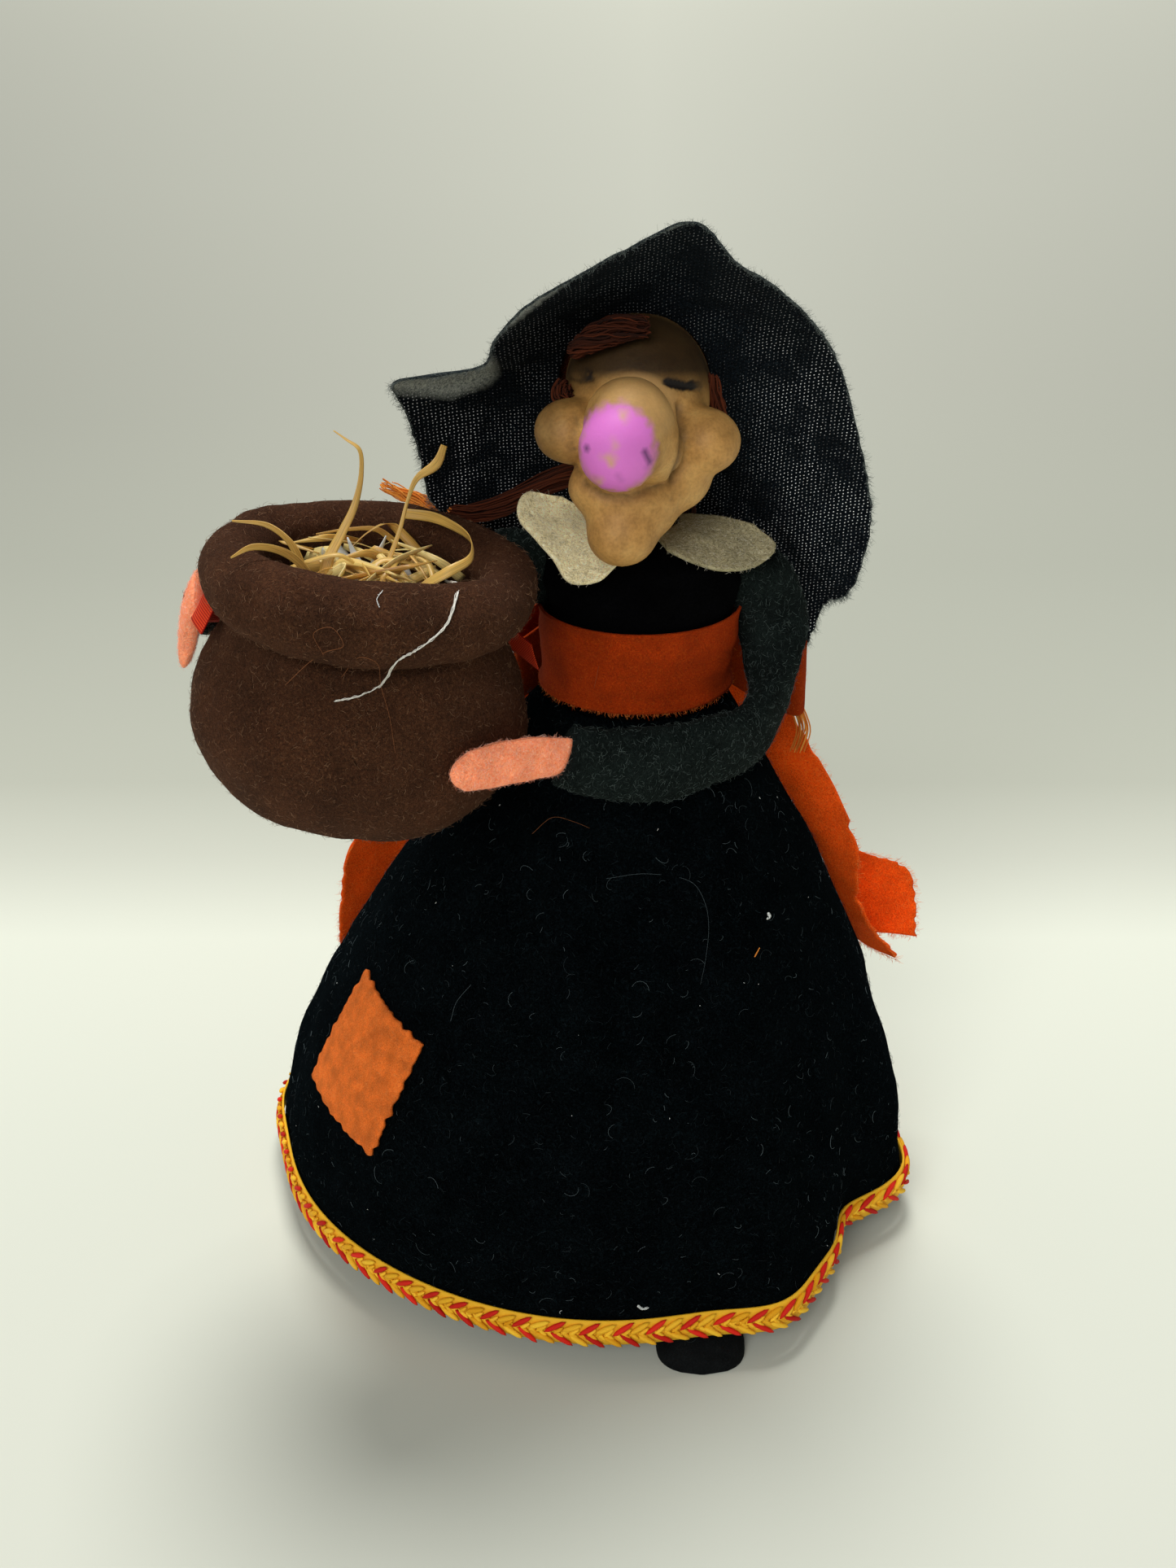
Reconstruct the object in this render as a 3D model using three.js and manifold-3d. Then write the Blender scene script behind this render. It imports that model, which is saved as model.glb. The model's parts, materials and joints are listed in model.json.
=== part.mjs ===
// A stuffed witch figure that hugs a felt cauldron of straw, in millimetres.
// X runs to the viewer's right, Y away from the viewer and Z up.
// The origin is the middle of the base board's underside.
import * as THREE from 'three';
import { mergeVertices } from 'three/addons/utils/BufferGeometryUtils.js';
import Module from 'manifold-3d';

const wasm = await Module();
wasm.setup();

// Fits
const clearance = 0.3;
const feltThickness = 1.2;
const velvetThickness = 1.0;

// Base board, card cone and skirt
const boardRadius = 60;
const boardThickness = 2.5;
const coneWall = 1.2;
const waistHeight = 140;
const waistRadius = 20.5;
const waistLean = 11;
const hemHeight = 8;
const hemRadius = 79.5;
const skirtOverlap = 3;
const braidWidth = 7;
const braidThickness = 1.4;
const patchThickness = 0.9;

// Shoes
const shoeWidth = 22.5;
const shoeLength = 30;
const shoeHeight = 15;
const toeHeight = 7;
const shoeSpread = 27;
const leftToe = 80;
const rightToe = 65;

// Bodice, sash and neck
const bodiceHeight = 45;
const chestRadius = 24.3;
const chestDepth = 20.5;
const shoulderDrop = 13;
const sashHeight = 20;
const sashBelow = 5;
const pegRadius = 3;
const pegDepth = 8;
const pegRise = 20;
const wireRadius = 1;

// Arms and hands
const sleeveRadius = 6.5;
const handThickness = 4.4;

// Cauldron, measured along its own leaning axis
const potLean = 6.9;
const potFloor = 5;
const potWall = 3.2;
const bellyRadius = 37;
const bellyHeight = 22;
const neckRadius = 32;
const neckHeight = 43.5;
const rimRadius = 30;
const rimHeight = 54.5;
const rimTube = 6.6;
const waddingTop = 49;

// Colours of the materials
const black = 0x0e1214;
const charcoal = 0x2c3432;
const orange = 0xd2591c;
const cream = 0xc4bda8;
const rust = 0x8a3d18;
const straw = 0xd9ae62;

const point = (x, y, z) => new THREE.Vector3(x, y, z);
const degrees = THREE.MathUtils.degToRad;

function material(color, roughness = 0.95, metalness = 0) {
  return new THREE.MeshStandardMaterial({ color, roughness, metalness });
}

function piece(name, geometry, color, roughness) {
  const mesh = new THREE.Mesh(geometry, material(color, roughness));
  mesh.name = name;
  return mesh;
}

// Makes an indexed body whose faces point outwards.
function bodyFrom(points, faces) {
  let volume = 0;
  for (const [a, b, c] of faces) {
    volume += points[a].dot(points[b].clone().cross(points[c]));
  }
  const order = volume > 0 ? faces : faces.map(([a, b, c]) => [a, c, b]);
  const geometry = new THREE.BufferGeometry();
  geometry.setAttribute('position', new THREE.Float32BufferAttribute(points.flatMap((p) => p.toArray()), 3));
  geometry.setIndex(order.flat());
  geometry.computeVertexNormals();
  return geometry;
}

// Joins rings of points, each with as many points, into one body with its ends closed.
function loft(rings) {
  const sides = rings[0].length;
  const points = rings.flat();
  const faces = [];
  for (let row = 0; row < rings.length - 1; row += 1) {
    for (let side = 0; side < sides; side += 1) {
      const a = row * sides + side;
      const b = row * sides + (side + 1) % sides;
      faces.push([a, b, b + sides], [a, b + sides, a + sides]);
    }
  }
  const middleOf = (ring) => ring.reduce((sum, p) => sum.add(p), point(0, 0, 0)).divideScalar(sides);
  const first = points.push(middleOf(rings[0])) - 1;
  const last = points.push(middleOf(rings[rings.length - 1])) - 1;
  const start = (rings.length - 1) * sides;
  for (let side = 0; side < sides; side += 1) {
    const next = (side + 1) % sides;
    faces.push([first, next, side], [last, start + side, start + next]);
  }
  return bodyFrom(points, faces);
}

// Gives a surface a thickness. at(u, v) is a point for u across and v along, both from 0 to 1.
// The cloth fills the space from lift to lift + thickness along the surface's normal.
function sheet(at, columns, rows, thickness, { closed = false, lift = 0 } = {}) {
  const step = 0.002;
  const across = closed ? columns : columns + 1;
  const layers = [[], []];
  for (let row = 0; row <= rows; row += 1) {
    for (let column = 0; column < across; column += 1) {
      const u = column / columns;
      const v = row / rows;
      const du = closed ? [u - step, u + step] : [Math.max(u - step, 0), Math.min(u + step, 1)];
      const dv = [Math.max(v - step, 0), Math.min(v + step, 1)];
      const alongU = at(du[1], v).sub(at(du[0], v));
      const alongV = at(u, dv[1]).sub(at(u, dv[0]));
      const normal = alongV.cross(alongU).normalize();
      layers[0].push(at(u, v).addScaledVector(normal, lift));
      layers[1].push(at(u, v).addScaledVector(normal, lift + thickness));
    }
  }
  const points = layers.flat();
  const offset = layers[0].length;
  const faces = [];
  const quad = (a, b, c, d) => faces.push([a, b, c], [a, c, d]);
  const index = (column, row) => row * across + (closed ? column % columns : column);
  for (let row = 0; row < rows; row += 1) {
    for (let column = 0; column < columns; column += 1) {
      const a = index(column, row);
      const b = index(column + 1, row);
      const c = index(column + 1, row + 1);
      const d = index(column, row + 1);
      quad(a + offset, b + offset, c + offset, d + offset);
      quad(d, c, b, a);
    }
  }
  for (let column = 0; column < columns; column += 1) {
    const a = index(column, 0);
    const b = index(column + 1, 0);
    quad(a, b, b + offset, a + offset);
    const c = index(column, rows);
    const d = index(column + 1, rows);
    quad(d, c, c + offset, d + offset);
  }
  if (!closed) {
    for (let row = 0; row < rows; row += 1) {
      const a = index(0, row);
      const b = index(0, row + 1);
      quad(b, a, a + offset, b + offset);
      const c = index(columns, row);
      const d = index(columns, row + 1);
      quad(c, d, d + offset, c + offset);
    }
  }
  return bodyFrom(points, faces);
}

function solidOf(geometry) {
  const bare = geometry.clone();
  bare.deleteAttribute('normal');
  bare.deleteAttribute('uv');
  const merged = mergeVertices(bare, 1e-4);
  return new wasm.Manifold(new wasm.Mesh({
    numProp: 3,
    vertProperties: new Float32Array(merged.attributes.position.array),
    triVerts: new Uint32Array(merged.index.array),
  }));
}

function geometryOf(solid) {
  const mesh = solid.getMesh();
  const geometry = new THREE.BufferGeometry();
  geometry.setAttribute('position', new THREE.Float32BufferAttribute(mesh.vertProperties, 3));
  geometry.setIndex(Array.from(mesh.triVerts));
  geometry.computeVertexNormals();
  return geometry;
}

// Takes cutters out of a body.
function cut(geometry, ...cutters) {
  return geometryOf(cutters.reduce((rest, cutter) => rest.subtract(solidOf(cutter)), solidOf(geometry)));
}

// A round bar between two points.
function bar(from, to, radius, sides = 16) {
  const along = to.clone().sub(from);
  const geometry = new THREE.CylinderGeometry(radius, radius, along.length(), sides);
  const turn = new THREE.Quaternion().setFromUnitVectors(point(0, 1, 0), along.clone().normalize());
  geometry.applyQuaternion(turn);
  const middle = from.clone().add(to).multiplyScalar(0.5);
  return geometry.translate(middle.x, middle.y, middle.z);
}

// A tube or strip of one section along a smooth curve through points.
function swept(points, shape, steps) {
  const extrudePath = new THREE.CatmullRomCurve3(points);
  return new THREE.ExtrudeGeometry(shape, { steps, extrudePath, bevelEnabled: false });
}

function circleShape(radius, sides) {
  const shape = new THREE.Shape();
  for (let side = 0; side < sides; side += 1) {
    const angle = side / sides * 2 * Math.PI;
    shape[side ? 'lineTo' : 'moveTo'](radius * Math.cos(angle), radius * Math.sin(angle));
  }
  return shape;
}

function stripShape(width, thickness) {
  const shape = new THREE.Shape();
  shape.moveTo(-thickness / 2, -width / 2).lineTo(thickness / 2, -width / 2);
  shape.lineTo(thickness / 2, width / 2).lineTo(-thickness / 2, width / 2);
  return shape;
}

// A stuffed limb: stations hold a point, a half width and a half thickness, and wide says which
// way the half width runs. Rings stand square to the smooth curve through the points.
function limb(stations, wide, { sides = 14, steps = 12, firstTangent = null } = {}) {
  const curve = new THREE.CatmullRomCurve3(stations.map((station) => station.at));
  const last = stations.length - 1;
  const rings = [];
  for (let step = 0; step <= steps; step += 1) {
    const t = step / steps;
    const low = Math.min(Math.floor(t * last), last - 1);
    const share = t * last - low;
    const halfWidth = THREE.MathUtils.lerp(stations[low].wide, stations[low + 1].wide, share);
    const halfThin = THREE.MathUtils.lerp(stations[low].thin, stations[low + 1].thin, share);
    const tangent = step === 0 && firstTangent ? firstTangent : curve.getTangent(t);
    const thinWay = tangent.clone().cross(wide).normalize();
    const wideWay = thinWay.clone().cross(tangent).normalize();
    const at = curve.getPoint(t);
    rings.push(Array.from({ length: sides }, (_, side) => {
      const angle = side / sides * 2 * Math.PI;
      return at.clone().addScaledVector(wideWay, halfWidth * Math.cos(angle))
        .addScaledVector(thinWay, halfThin * Math.sin(angle));
    }));
  }
  return loft(rings);
}

// A surface with a curved cross section: each row holds a near edge, a bend and a far edge.
function bandSurface(rows) {
  const tracks = [0, 1, 2].map((track) => new THREE.CatmullRomCurve3(rows.map((row) => row[track])));
  return (u, v) => {
    const [near, bend, far] = tracks.map((track) => track.getPoint(v));
    near.multiplyScalar((1 - u) ** 2);
    return near.addScaledVector(bend, 2 * u * (1 - u)).addScaledVector(far, u ** 2);
  };
}

const place = (anchor, [x, y, z]) => anchor.clone().add(point(x, y, z));

// The shape of the skirt: a quarter sine from the waist out to the hem, leaning with the body.
// Each fold is an angle from the front, how far it stands out at the hem, and its spread.
const folds = [[33, 6, 9], [60, -6.5, 8], [78, 4.5, 9], [105, 3, 10], [128, -4, 11], [152, 5, 12],
  [177, -4, 11], [206, 5, 12], [232, -4, 10], [257, 6, 13], [325, -4.2, 38]];
const skirtTop = waistHeight + skirtOverlap;
const waist = point(waistLean, 0, waistHeight);

function leanAt(height) {
  return waistLean * Math.max(0, (height - hemHeight) / (skirtTop - hemHeight)) ** 1.4;
}

function skirtRadius(angle, share) {
  const fold = folds.reduce((sum, [middle, depth, spread]) => {
    const away = (angle - middle + 540) % 360 - 180;
    return sum + depth * Math.exp(-((away / spread) ** 2));
  }, 0);
  const inner = waistRadius + clearance + feltThickness;
  return inner + (hemRadius - inner) * Math.sin(share * Math.PI / 2) + fold * share ** 2.2;
}

function skirtPoint(angle, share) {
  const height = skirtTop - (skirtTop - hemHeight) * share;
  const radius = skirtRadius(angle, share);
  return point(leanAt(height) + radius * Math.sin(degrees(angle)), -radius * Math.cos(degrees(angle)), height);
}

// The last row of the skirt starts where the braid does, so that the two lie face to face.
const skirtRows = 8;
const skirtColumns = 50;
const braidShare = braidWidth / (skirtTop - hemHeight);

function skirtShare(v) {
  const above = (skirtRows - 1) / skirtRows;
  return v < above ? v / above * (1 - braidShare) : 1 - braidShare * (1 - v) / (1 - above);
}

function makeFoot() {
  const board = new THREE.CylinderGeometry(boardRadius, boardRadius, boardThickness, 48);
  board.rotateX(Math.PI / 2).translate(0, 0, boardThickness / 2);
  const coneSlope = (boardRadius - waistRadius) / waistHeight;
  const coneBottom = boardThickness + clearance + coneWall * coneSlope;
  const coneTop = waistHeight - clearance;
  const coneSide = (u, v) => {
    const height = THREE.MathUtils.lerp(coneTop, coneBottom, v);
    const radius = THREE.MathUtils.lerp(waistRadius - 1, boardRadius, v);
    const lean = THREE.MathUtils.lerp(waistLean, 0, v);
    return point(lean + radius * Math.sin(u * 2 * Math.PI), -radius * Math.cos(u * 2 * Math.PI), height);
  };
  const cone = sheet(coneSide, 32, 2, -coneWall, { closed: true });
  const footRoom = new THREE.CylinderGeometry(boardRadius + clearance, boardRadius + clearance,
    4 * shoeHeight, 48).rotateX(Math.PI / 2);

  // A shoe is a rounded upper over a flat sole, wider at the toe than at the heel.
  const shoe = (side, toe) => {
    const rows = 8;
    const rings = [];
    for (let row = 0; row <= rows; row += 1) {
      const share = row / rows;
      const swell = Math.sqrt(Math.max(0.03, 1 - (2 * share - 1) ** 4));
      const half = shoeWidth / 2 * swell * (0.86 + 0.14 * (1 - share));
      const climb = THREE.MathUtils.smoothstep(share, 0.3, 0.8);
      const rise = swell * THREE.MathUtils.lerp(toeHeight, shoeHeight, climb);
      rings.push(Array.from({ length: 12 }, (_, step) => {
        const angle = step / 11 * Math.PI;
        return point(side + half * Math.cos(angle), -toe + shoeLength * share, rise * Math.sin(angle) ** 0.8);
      }));
    }
    return loft(rings);
  };
  const makeShoe = (side, toe) => cut(shoe(side, toe), footRoom);

  const skirt = sheet((u, v) => skirtPoint(u * 360, skirtShare(v)), skirtColumns, skirtRows, -feltThickness,
    { closed: true });
  const braid = sheet((u, v) => skirtPoint(u * 360, 1 - braidShare * (1 - v)), skirtColumns, 1, braidThickness,
    { closed: true, lift: clearance });

  // The patch is a leaning kite sewn on the skirt, its corners as angle and share down the skirt.
  const corners = [[-70.1, 0.497], [-44.2, 0.538], [-49, 0.762], [-74, 0.735]];
  const patchSide = (u, v) => {
    const top = corners[0].map((value, i) => THREE.MathUtils.lerp(value, corners[1][i], u));
    const bottom = corners[3].map((value, i) => THREE.MathUtils.lerp(value, corners[2][i], u));
    const [angle, share] = top.map((value, i) => THREE.MathUtils.lerp(value, bottom[i], v));
    return skirtPoint(angle, share);
  };
  const patch = sheet(patchSide, 6, 6, patchThickness, { lift: clearance + 0.1 });

  return [
    piece('base_board', board, 0x8f8673, 0.9),
    piece('body_cone', cone, 0x8f8673, 0.9),
    piece('skirt', skirt, black),
    piece('hem_braid', braid, 0xe0a81e, 0.8),
    piece('skirt_patch', patch, orange),
    piece('shoe_left', makeShoe(shoeSpread, leftToe), black),
    piece('shoe_right', makeShoe(-shoeSpread, rightToe), black),
  ];
}

// Half widths and half depths of the stuffed bodice from the waist up to the neck, as shares.
const bodiceProfile = [[0, 0.815, 0.93], [0.09, 0.86, 0.98], [0.33, 0.9, 1.0], [0.56, 0.925, 1.01],
  [0.71, 1, 0.97], [0.84, 0.93, 0.83], [0.93, 0.68, 0.63], [0.985, 0.44, 0.46], [1, 0.33, 0.39]];
const neckTop = waistHeight + bodiceHeight;
const bodiceMiddle = (share) => waistLean + 1.6 * Math.sin(share * Math.PI / 2);
const shoulderHeight = neckTop - shoulderDrop;
const neckMiddle = point(waistLean + 0.5, -3, neckTop);

function lookUp(share, column) {
  const row = Math.max(1, bodiceProfile.findIndex(([at]) => at >= share));
  const [low, high] = [bodiceProfile[row - 1], bodiceProfile[row]];
  return THREE.MathUtils.lerp(low[column], high[column], (share - low[0]) / (high[0] - low[0]));
}

// A point on the bodice, or grow outside it, at a share of its height and of the way round.
function bodicePoint(share, around, grow = 0) {
  const half = lookUp(share, 1) * chestRadius + grow;
  const depth = lookUp(share, 2) * chestDepth + grow;
  const angle = around * 2 * Math.PI;
  const back = neckMiddle.y * share ** 3;
  return point(bodiceMiddle(share) + half * Math.sin(angle), back - depth * Math.cos(angle),
    waistHeight + bodiceHeight * share);
}

function makeBodice() {
  const sides = 22;
  const ringAt = (share) => Array.from({ length: sides }, (_, i) => bodicePoint(share, i / sides));
  const rings = bodiceProfile.map(([share]) => ringAt(share));
  const wireBore = bar(point(-60, 0, shoulderHeight), point(80, 0, shoulderHeight), wireRadius + clearance, 12);
  const pegEnd = place(neckMiddle, [0, 0, -pegDepth]);
  const pegBore = bar(pegEnd, place(neckMiddle, [0, 0, 10]), pegRadius + clearance);
  const bodice = cut(loft(rings), wireBore, pegBore);
  const peg = bar(place(pegEnd, [0, 0, clearance]), place(neckMiddle, [0, 0, pegRise]), pegRadius);

  // The sash is a strip of velvet drawn round the bodice, with its bow at the back.
  const sashSide = (u, v) => {
    const share = (sashBelow + sashHeight * (1 - v)) / bodiceHeight;
    return bodicePoint(share, u, 1.5 * clearance);
  };
  const sash = sheet(sashSide, sides, 3, velvetThickness, { closed: true });

  const waistBack = bodicePoint(0.2, 0.5, velvetThickness);
  const knot = limb([
    { at: place(waistBack, [-5, 3.6, 0.5]), wide: 3.4, thin: 2.2 },
    { at: place(waistBack, [0, 4, 0]), wide: 6, thin: 3.2 },
    { at: place(waistBack, [5, 3.6, -0.5]), wide: 3.4, thin: 2.2 },
  ], point(0, 0, 1), { steps: 6 });
  const loop = (way) => bandLoop(waistBack, way);
  return [
    piece('bodice', bodice, black),
    piece('neck_peg', peg, 0xb98d58, 0.6),
    piece('sash_band', sash, orange),
    piece('bow_knot', knot, orange),
    piece('bow_loop_left', loop(-1), orange),
    piece('bow_loop_right', loop(1), orange),
    piece('sash_tail_left', makeLeftTail(waistBack), orange),
    piece('sash_tail_right', makeRightTail(waistBack), orange),
    piece('collar_left', makeCollar(collarLeftRows, 1), cream),
    piece('collar_right', makeCollar(collarRightRows, -1), cream),
  ];
}

// One loop of the bow: the ribbon leaves the knot, turns back at its end and returns above itself.
function bandLoop(waistBack, way) {
  const track = [[5.8, 3.1, 0.5], [16, 6, 0.5], [25, 4.5, -4], [30, -1, -9], [29, -3.6, -10], [22, 0.4, -7],
    [14, 2.4, -3], [5.9, 1.6, -1]];
  const halfWidth = [3.2, 6.5, 8.2, 8, 7.8, 7.8, 6.5, 3.2];
  const rows = track.map(([x, y, z], i) => [-1, 0, 1].map((edge) => place(waistBack,
    [way * x, y + 0.6 * (edge === 0 ? 1 : 0), z - edge * halfWidth[i]])));
  return sheet(bandSurface(rows), 3, 16, velvetThickness);
}

// The tails hang from under the knot, the left one flat and the right one curled like a shaving.
function makeLeftTail(waistBack) {
  const rows = [
    [[-0.8, 3.9, -6.5], [-2.8, 3.9, -6.2], [-5, 3.6, -5.4]],
    [[-11, 10, -18], [-16, 9.5, -14], [-21, 8, -10]],
    [[-32, 21, -41], [-38, 19, -37], [-44, 14, -33]],
    [[-51, 29, -70], [-60, 25.5, -69], [-74, 13, -67]],
    [[-55, 34, -86], [-65, 29.5, -88], [-79.5, 15, -90]],
    [[-58, 38, -101], [-68, 33, -103], [-80.5, 18, -106]],
  ].map((row) => row.map((offset) => place(waistBack, offset)));
  return sheet(bandSurface(rows), 4, 14, velvetThickness);
}

function makeRightTail(waistBack) {
  const rows = [
    [[0.8, 3.9, -6.3], [2.8, 3.9, -6], [5, 3.6, -5.2]],
    [[20, 9.5, -15], [19, 9.5, -20], [17, 11, -24]],
    [[40, 1.5, -38], [33.5, 3.5, -44], [36, 9.5, -50]],
    [[54.5, -8.5, -56.5], [41, 3, -63], [51, 8, -70]],
    [[59.5, -9.5, -75], [45, 13, -82], [73, 8, -82]],
    [[70.5, -8.5, -91.5], [47, 19, -95], [74.5, -1, -95]],
  ].map((row) => row.map((offset) => place(waistBack, offset)));
  return sheet(bandSurface(rows), 7, 15, velvetThickness);
}

// Collar lobes, each row from the neck outwards: inner edge, middle and outer edge from the neck top.
const collarLeftRows = [
  [[-3.5, -9, -0.6], [-4.5, -17, -1], [-5.5, -24, -4]],
  [[-7.5, -7.5, -0.6], [-12.5, -17, -1], [-14.5, -26, -7]],
  [[-9.5, -4, -0.4], [-17.5, -12, 1], [-23, -21, -3]],
  [[-10.2, 0, -0.3], [-19.5, -6, 3], [-27.5, -14, 4]],
  [[-10.2, 3, -0.3], [-15.5, 0, 2.2], [-23.5, -5, 5.6]],
];
const collarRightRows = [
  [[2.5, -9, 0], [5.5, -16, -0.5], [7.5, -22, -3.5]],
  [[6.5, -7, 0], [13.5, -13, -1], [19.5, -20, -6.5]],
  [[8.8, -4, 0.2], [18.5, -6, -0.2], [28.5, -11, -4.5]],
  [[9.6, 1, 0.3], [18.5, 0, 1.4], [30.5, -5, 0]],
];

// The cloth's upper face is on the side that up names.
function makeCollar(offsets, up) {
  const rows = offsets.map((row) => row.map((offset) => place(neckMiddle, offset)));
  return sheet(bandSurface(rows), 5, 7, up * velvetThickness);
}

// The moulded head is two blends of egg shapes round the head's middle, the face with its neck
// and the big nose: place, half sizes.
const headMiddle = place(neckMiddle, [-1.5, -14, 27]);
const skull = [[1, 12, 5.5], [16, 18, 15.5]];
const faceForms = [
  skull,
  [[1, 2, -1], [14, 14, 15.5]],
  [[-14.5, -7.5, 1], [7, 8, 6.6]],
  [[15.5, -7.5, -1.2], [7.2, 8, 6.8]],
  [[11, -6, -8.5], [7, 9, 8]],
  [[-1.5, -11, -10.5], [11.4, 9, 7.6]],
  [[-1.8, -15.5, -19.5], [6.6, 6.8, 6.6]],
  [[0, -10, -15], [9.4, 8, 8]],
  [[1.5, 13, -19], [8, 8.5, 11]],
];
const noseForms = [
  [[-1.5, -17, 5], [9.5, 12, 10]],
  [[-3.8, -27, 2.8], [8.2, 8.2, 8.6]],
  [[4, -15.5, -0.5], [6.2, 8, 7]],
];
const blendSharpness = 3.2;

function headField(at, forms) {
  return forms.reduce((sum, [[x, y, z], [a, b, c]]) => {
    const spread = ((at.x - x) / a) ** 2 + ((at.y - y) / b) ** 2 + ((at.z - z) / c) ** 2;
    return sum + Math.exp(-blendSharpness * (spread - 1));
  }, 0);
}

// The far crossing of the blend's surface along a direction from the middle.
function headReach(direction, forms) {
  let outside = 60;
  while (outside > 1 && headField(direction.clone().multiplyScalar(outside), forms) < 1) {
    outside -= 0.5;
  }
  let inside = outside;
  outside += 0.5;
  for (let round = 0; round < 12; round += 1) {
    const half = (inside + outside) / 2;
    if (headField(direction.clone().multiplyScalar(half), forms) < 1) {
      outside = half;
    } else {
      inside = half;
    }
  }
  return inside;
}

function starBody(columns, rows, grow = 0) {
  const reach = (direction) => Math.max(headReach(direction, faceForms), headReach(direction, noseForms));
  const rings = [];
  for (let row = 1; row < rows; row += 1) {
    const polar = row / rows * Math.PI;
    rings.push(Array.from({ length: columns }, (_, column) => {
      const angle = column / columns * 2 * Math.PI;
      const flat = Math.sin(polar);
      const direction = point(flat * Math.sin(angle), -flat * Math.cos(angle), Math.cos(polar));
      return direction.multiplyScalar(reach(direction) + grow).add(headMiddle);
    }));
  }
  return loft(rings);
}

// Hair runs in locks that lie against the head, as points from the head's middle.
const hairLocks = {
  hair_fringe: [[[-12.5, 3, 14.2], 1.6, 2.2], [[-9.8, -1.5, 16.6], 2.6, 2.6], [[-4.3, -2.6, 18.9], 3.4, 3],
    [[3.5, -2.6, 19.9], 2.4, 2.4]],
  hair_temple: [[[-15.5, 5, 7.5], 1.6, 2], [[-15.5, 1, 6.5], 2.8, 2.4], [[-14.2, -2, 6.5], 1.8, 2]],
  hair_right: [[[16, 6, 9], 2, 2], [[19, 4, 0], 3.2, 2.4], [[18, 7, -11], 2.4, 2]],
  hair_lock_left: [[[-8, 8, -12.5], 4.5, 2], [[-19, 14, -17.5], 2.8, 1.6], [[-33, 23.5, -28], 2.2, 1.2],
    [[-45, 25.5, -29], 1.8, 1.1], [[-58.5, 26.5, -21.5], 1.2, 0.9]],
};

function makeHead() {
  const outer = starBody(36, 24);
  const bore = bar(place(neckMiddle, [0, 0, -20]), place(neckMiddle, [0, 0, pegRise + clearance]),
    pegRadius + clearance);
  const underNeck = new THREE.BoxGeometry(40, 30, 20);
  underNeck.translate(neckMiddle.x, neckMiddle.y + 4, neckTop + clearance - 10);
  const head = cut(outer, bore, underNeck);
  const headRoom = starBody(36, 24, 1.3 * clearance);
  const locks = Object.entries(hairLocks).map(([name, stations]) => piece(name, cut(limb(
    stations.map(([at, wide, thin]) => ({ at: place(headMiddle, at), wide, thin })),
    point(0.1, 0.05, 1), { sides: 8, steps: 10 },
  ), headRoom), rust));
  const back = limb([
    { at: place(headMiddle, [1.5, 22.1, -17]), wide: 9, thin: 1.2 },
    { at: place(headMiddle, [1.5, 26.3, -23]), wide: 13, thin: 1.4 },
    { at: place(headMiddle, [1.5, 34, -31]), wide: 15, thin: 1.5 },
    { at: place(headMiddle, [1.5, 39, -40]), wide: 14, thin: 1.4 },
    { at: place(headMiddle, [1.5, 41.2, -49]), wide: 9, thin: 1 },
  ], point(1, 0, 0), { sides: 14, steps: 9 });
  const wig = (grow) => loft(wigRows.map(([[x, y, z], radius], i) => (
    crownRing([[x, i ? y : y - grow, z], radius + grow], hatTilts[i]))));
  return [
    piece('head', head, 0xa8814a, 0.55),
    ...locks,
    piece('hair_back', cut(back, headRoom, wig(clearance)), rust),
    piece('hair_wig', cut(wig(0), headRoom), rust),
    ...makeHat(),
  ];
}

// The hat is pushed to the back of the head. Its brim stands round the face like a bonnet, and its
// edge is a free curve through points from the middle of the opening.
const hatMiddle = place(headMiddle, [0.5, 19, 4]);
const hatOpening = 24.7;
const hatTilt = 20;
const brimEdge = [[43, 19.5, -71.5], [47.5, 17, -60], [52.5, 11, -54.5], [55.5, 4, -34], [52.5, 0, -18.5],
  [44, -7, 7], [38, -11, 16.5], [28.8, -16, 25.5], [20, -20, 31.5], [11.3, -24, 40.3], [-3.5, -27, 35],
  [-13.2, -28, 30], [-23, -27, 24], [-30, -24, 16], [-32.5, -20, 9.6], [-42, -20, 7.2], [-52.2, -18, 5],
  [-50.4, -14, -3.2], [-48.5, -7, -14.6], [-46.5, 5, -28.5], [-24, 22, -38], [4, 27, -43], [28, 23.5, -52]];

// The crown is a soft cone that points back and nods at its tip: place, radius. A wig of hair
// fills it between the skull and the cloth.
const hatTilts = [20, 20, 14, 2, -20, -40].map(degrees);
const crownRows = [[[0, -0.8, -0.3], hatOpening - clearance], [[0.5, 12, 4], 21.5], [[1.5, 27, 8.5], 15.5],
  [[3, 41, 10], 9.5], [[4.5, 52, 7.5], 5.4], [[5.5, 59, 2.5], 2.6]];
const hollowRows = [[[0, -3, -1], 23.7], [[0.5, 12, 4], 20.1], [[1.5, 27, 8.5], 14], [[3, 40, 10], 8]];
const wigRows = hollowRows.map(([[x, y, z], radius], row) => (
  [[x, row === 3 ? y - clearance : y, z], radius - clearance]));

function crownRing([at, radius], tilt) {
  const sides = 20;
  return Array.from({ length: sides }, (_, side) => {
    const angle = side / sides * 2 * Math.PI;
    return place(hatMiddle, at).add(point(radius * Math.cos(angle), -radius * Math.sin(angle) * Math.sin(tilt),
      radius * Math.sin(angle) * Math.cos(tilt)));
  });
}

function openingPoint(angle) {
  const tilt = degrees(hatTilt);
  return point(hatOpening * Math.cos(angle), -hatOpening * Math.sin(angle) * Math.sin(tilt),
    hatOpening * Math.sin(angle) * Math.cos(tilt));
}

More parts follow.
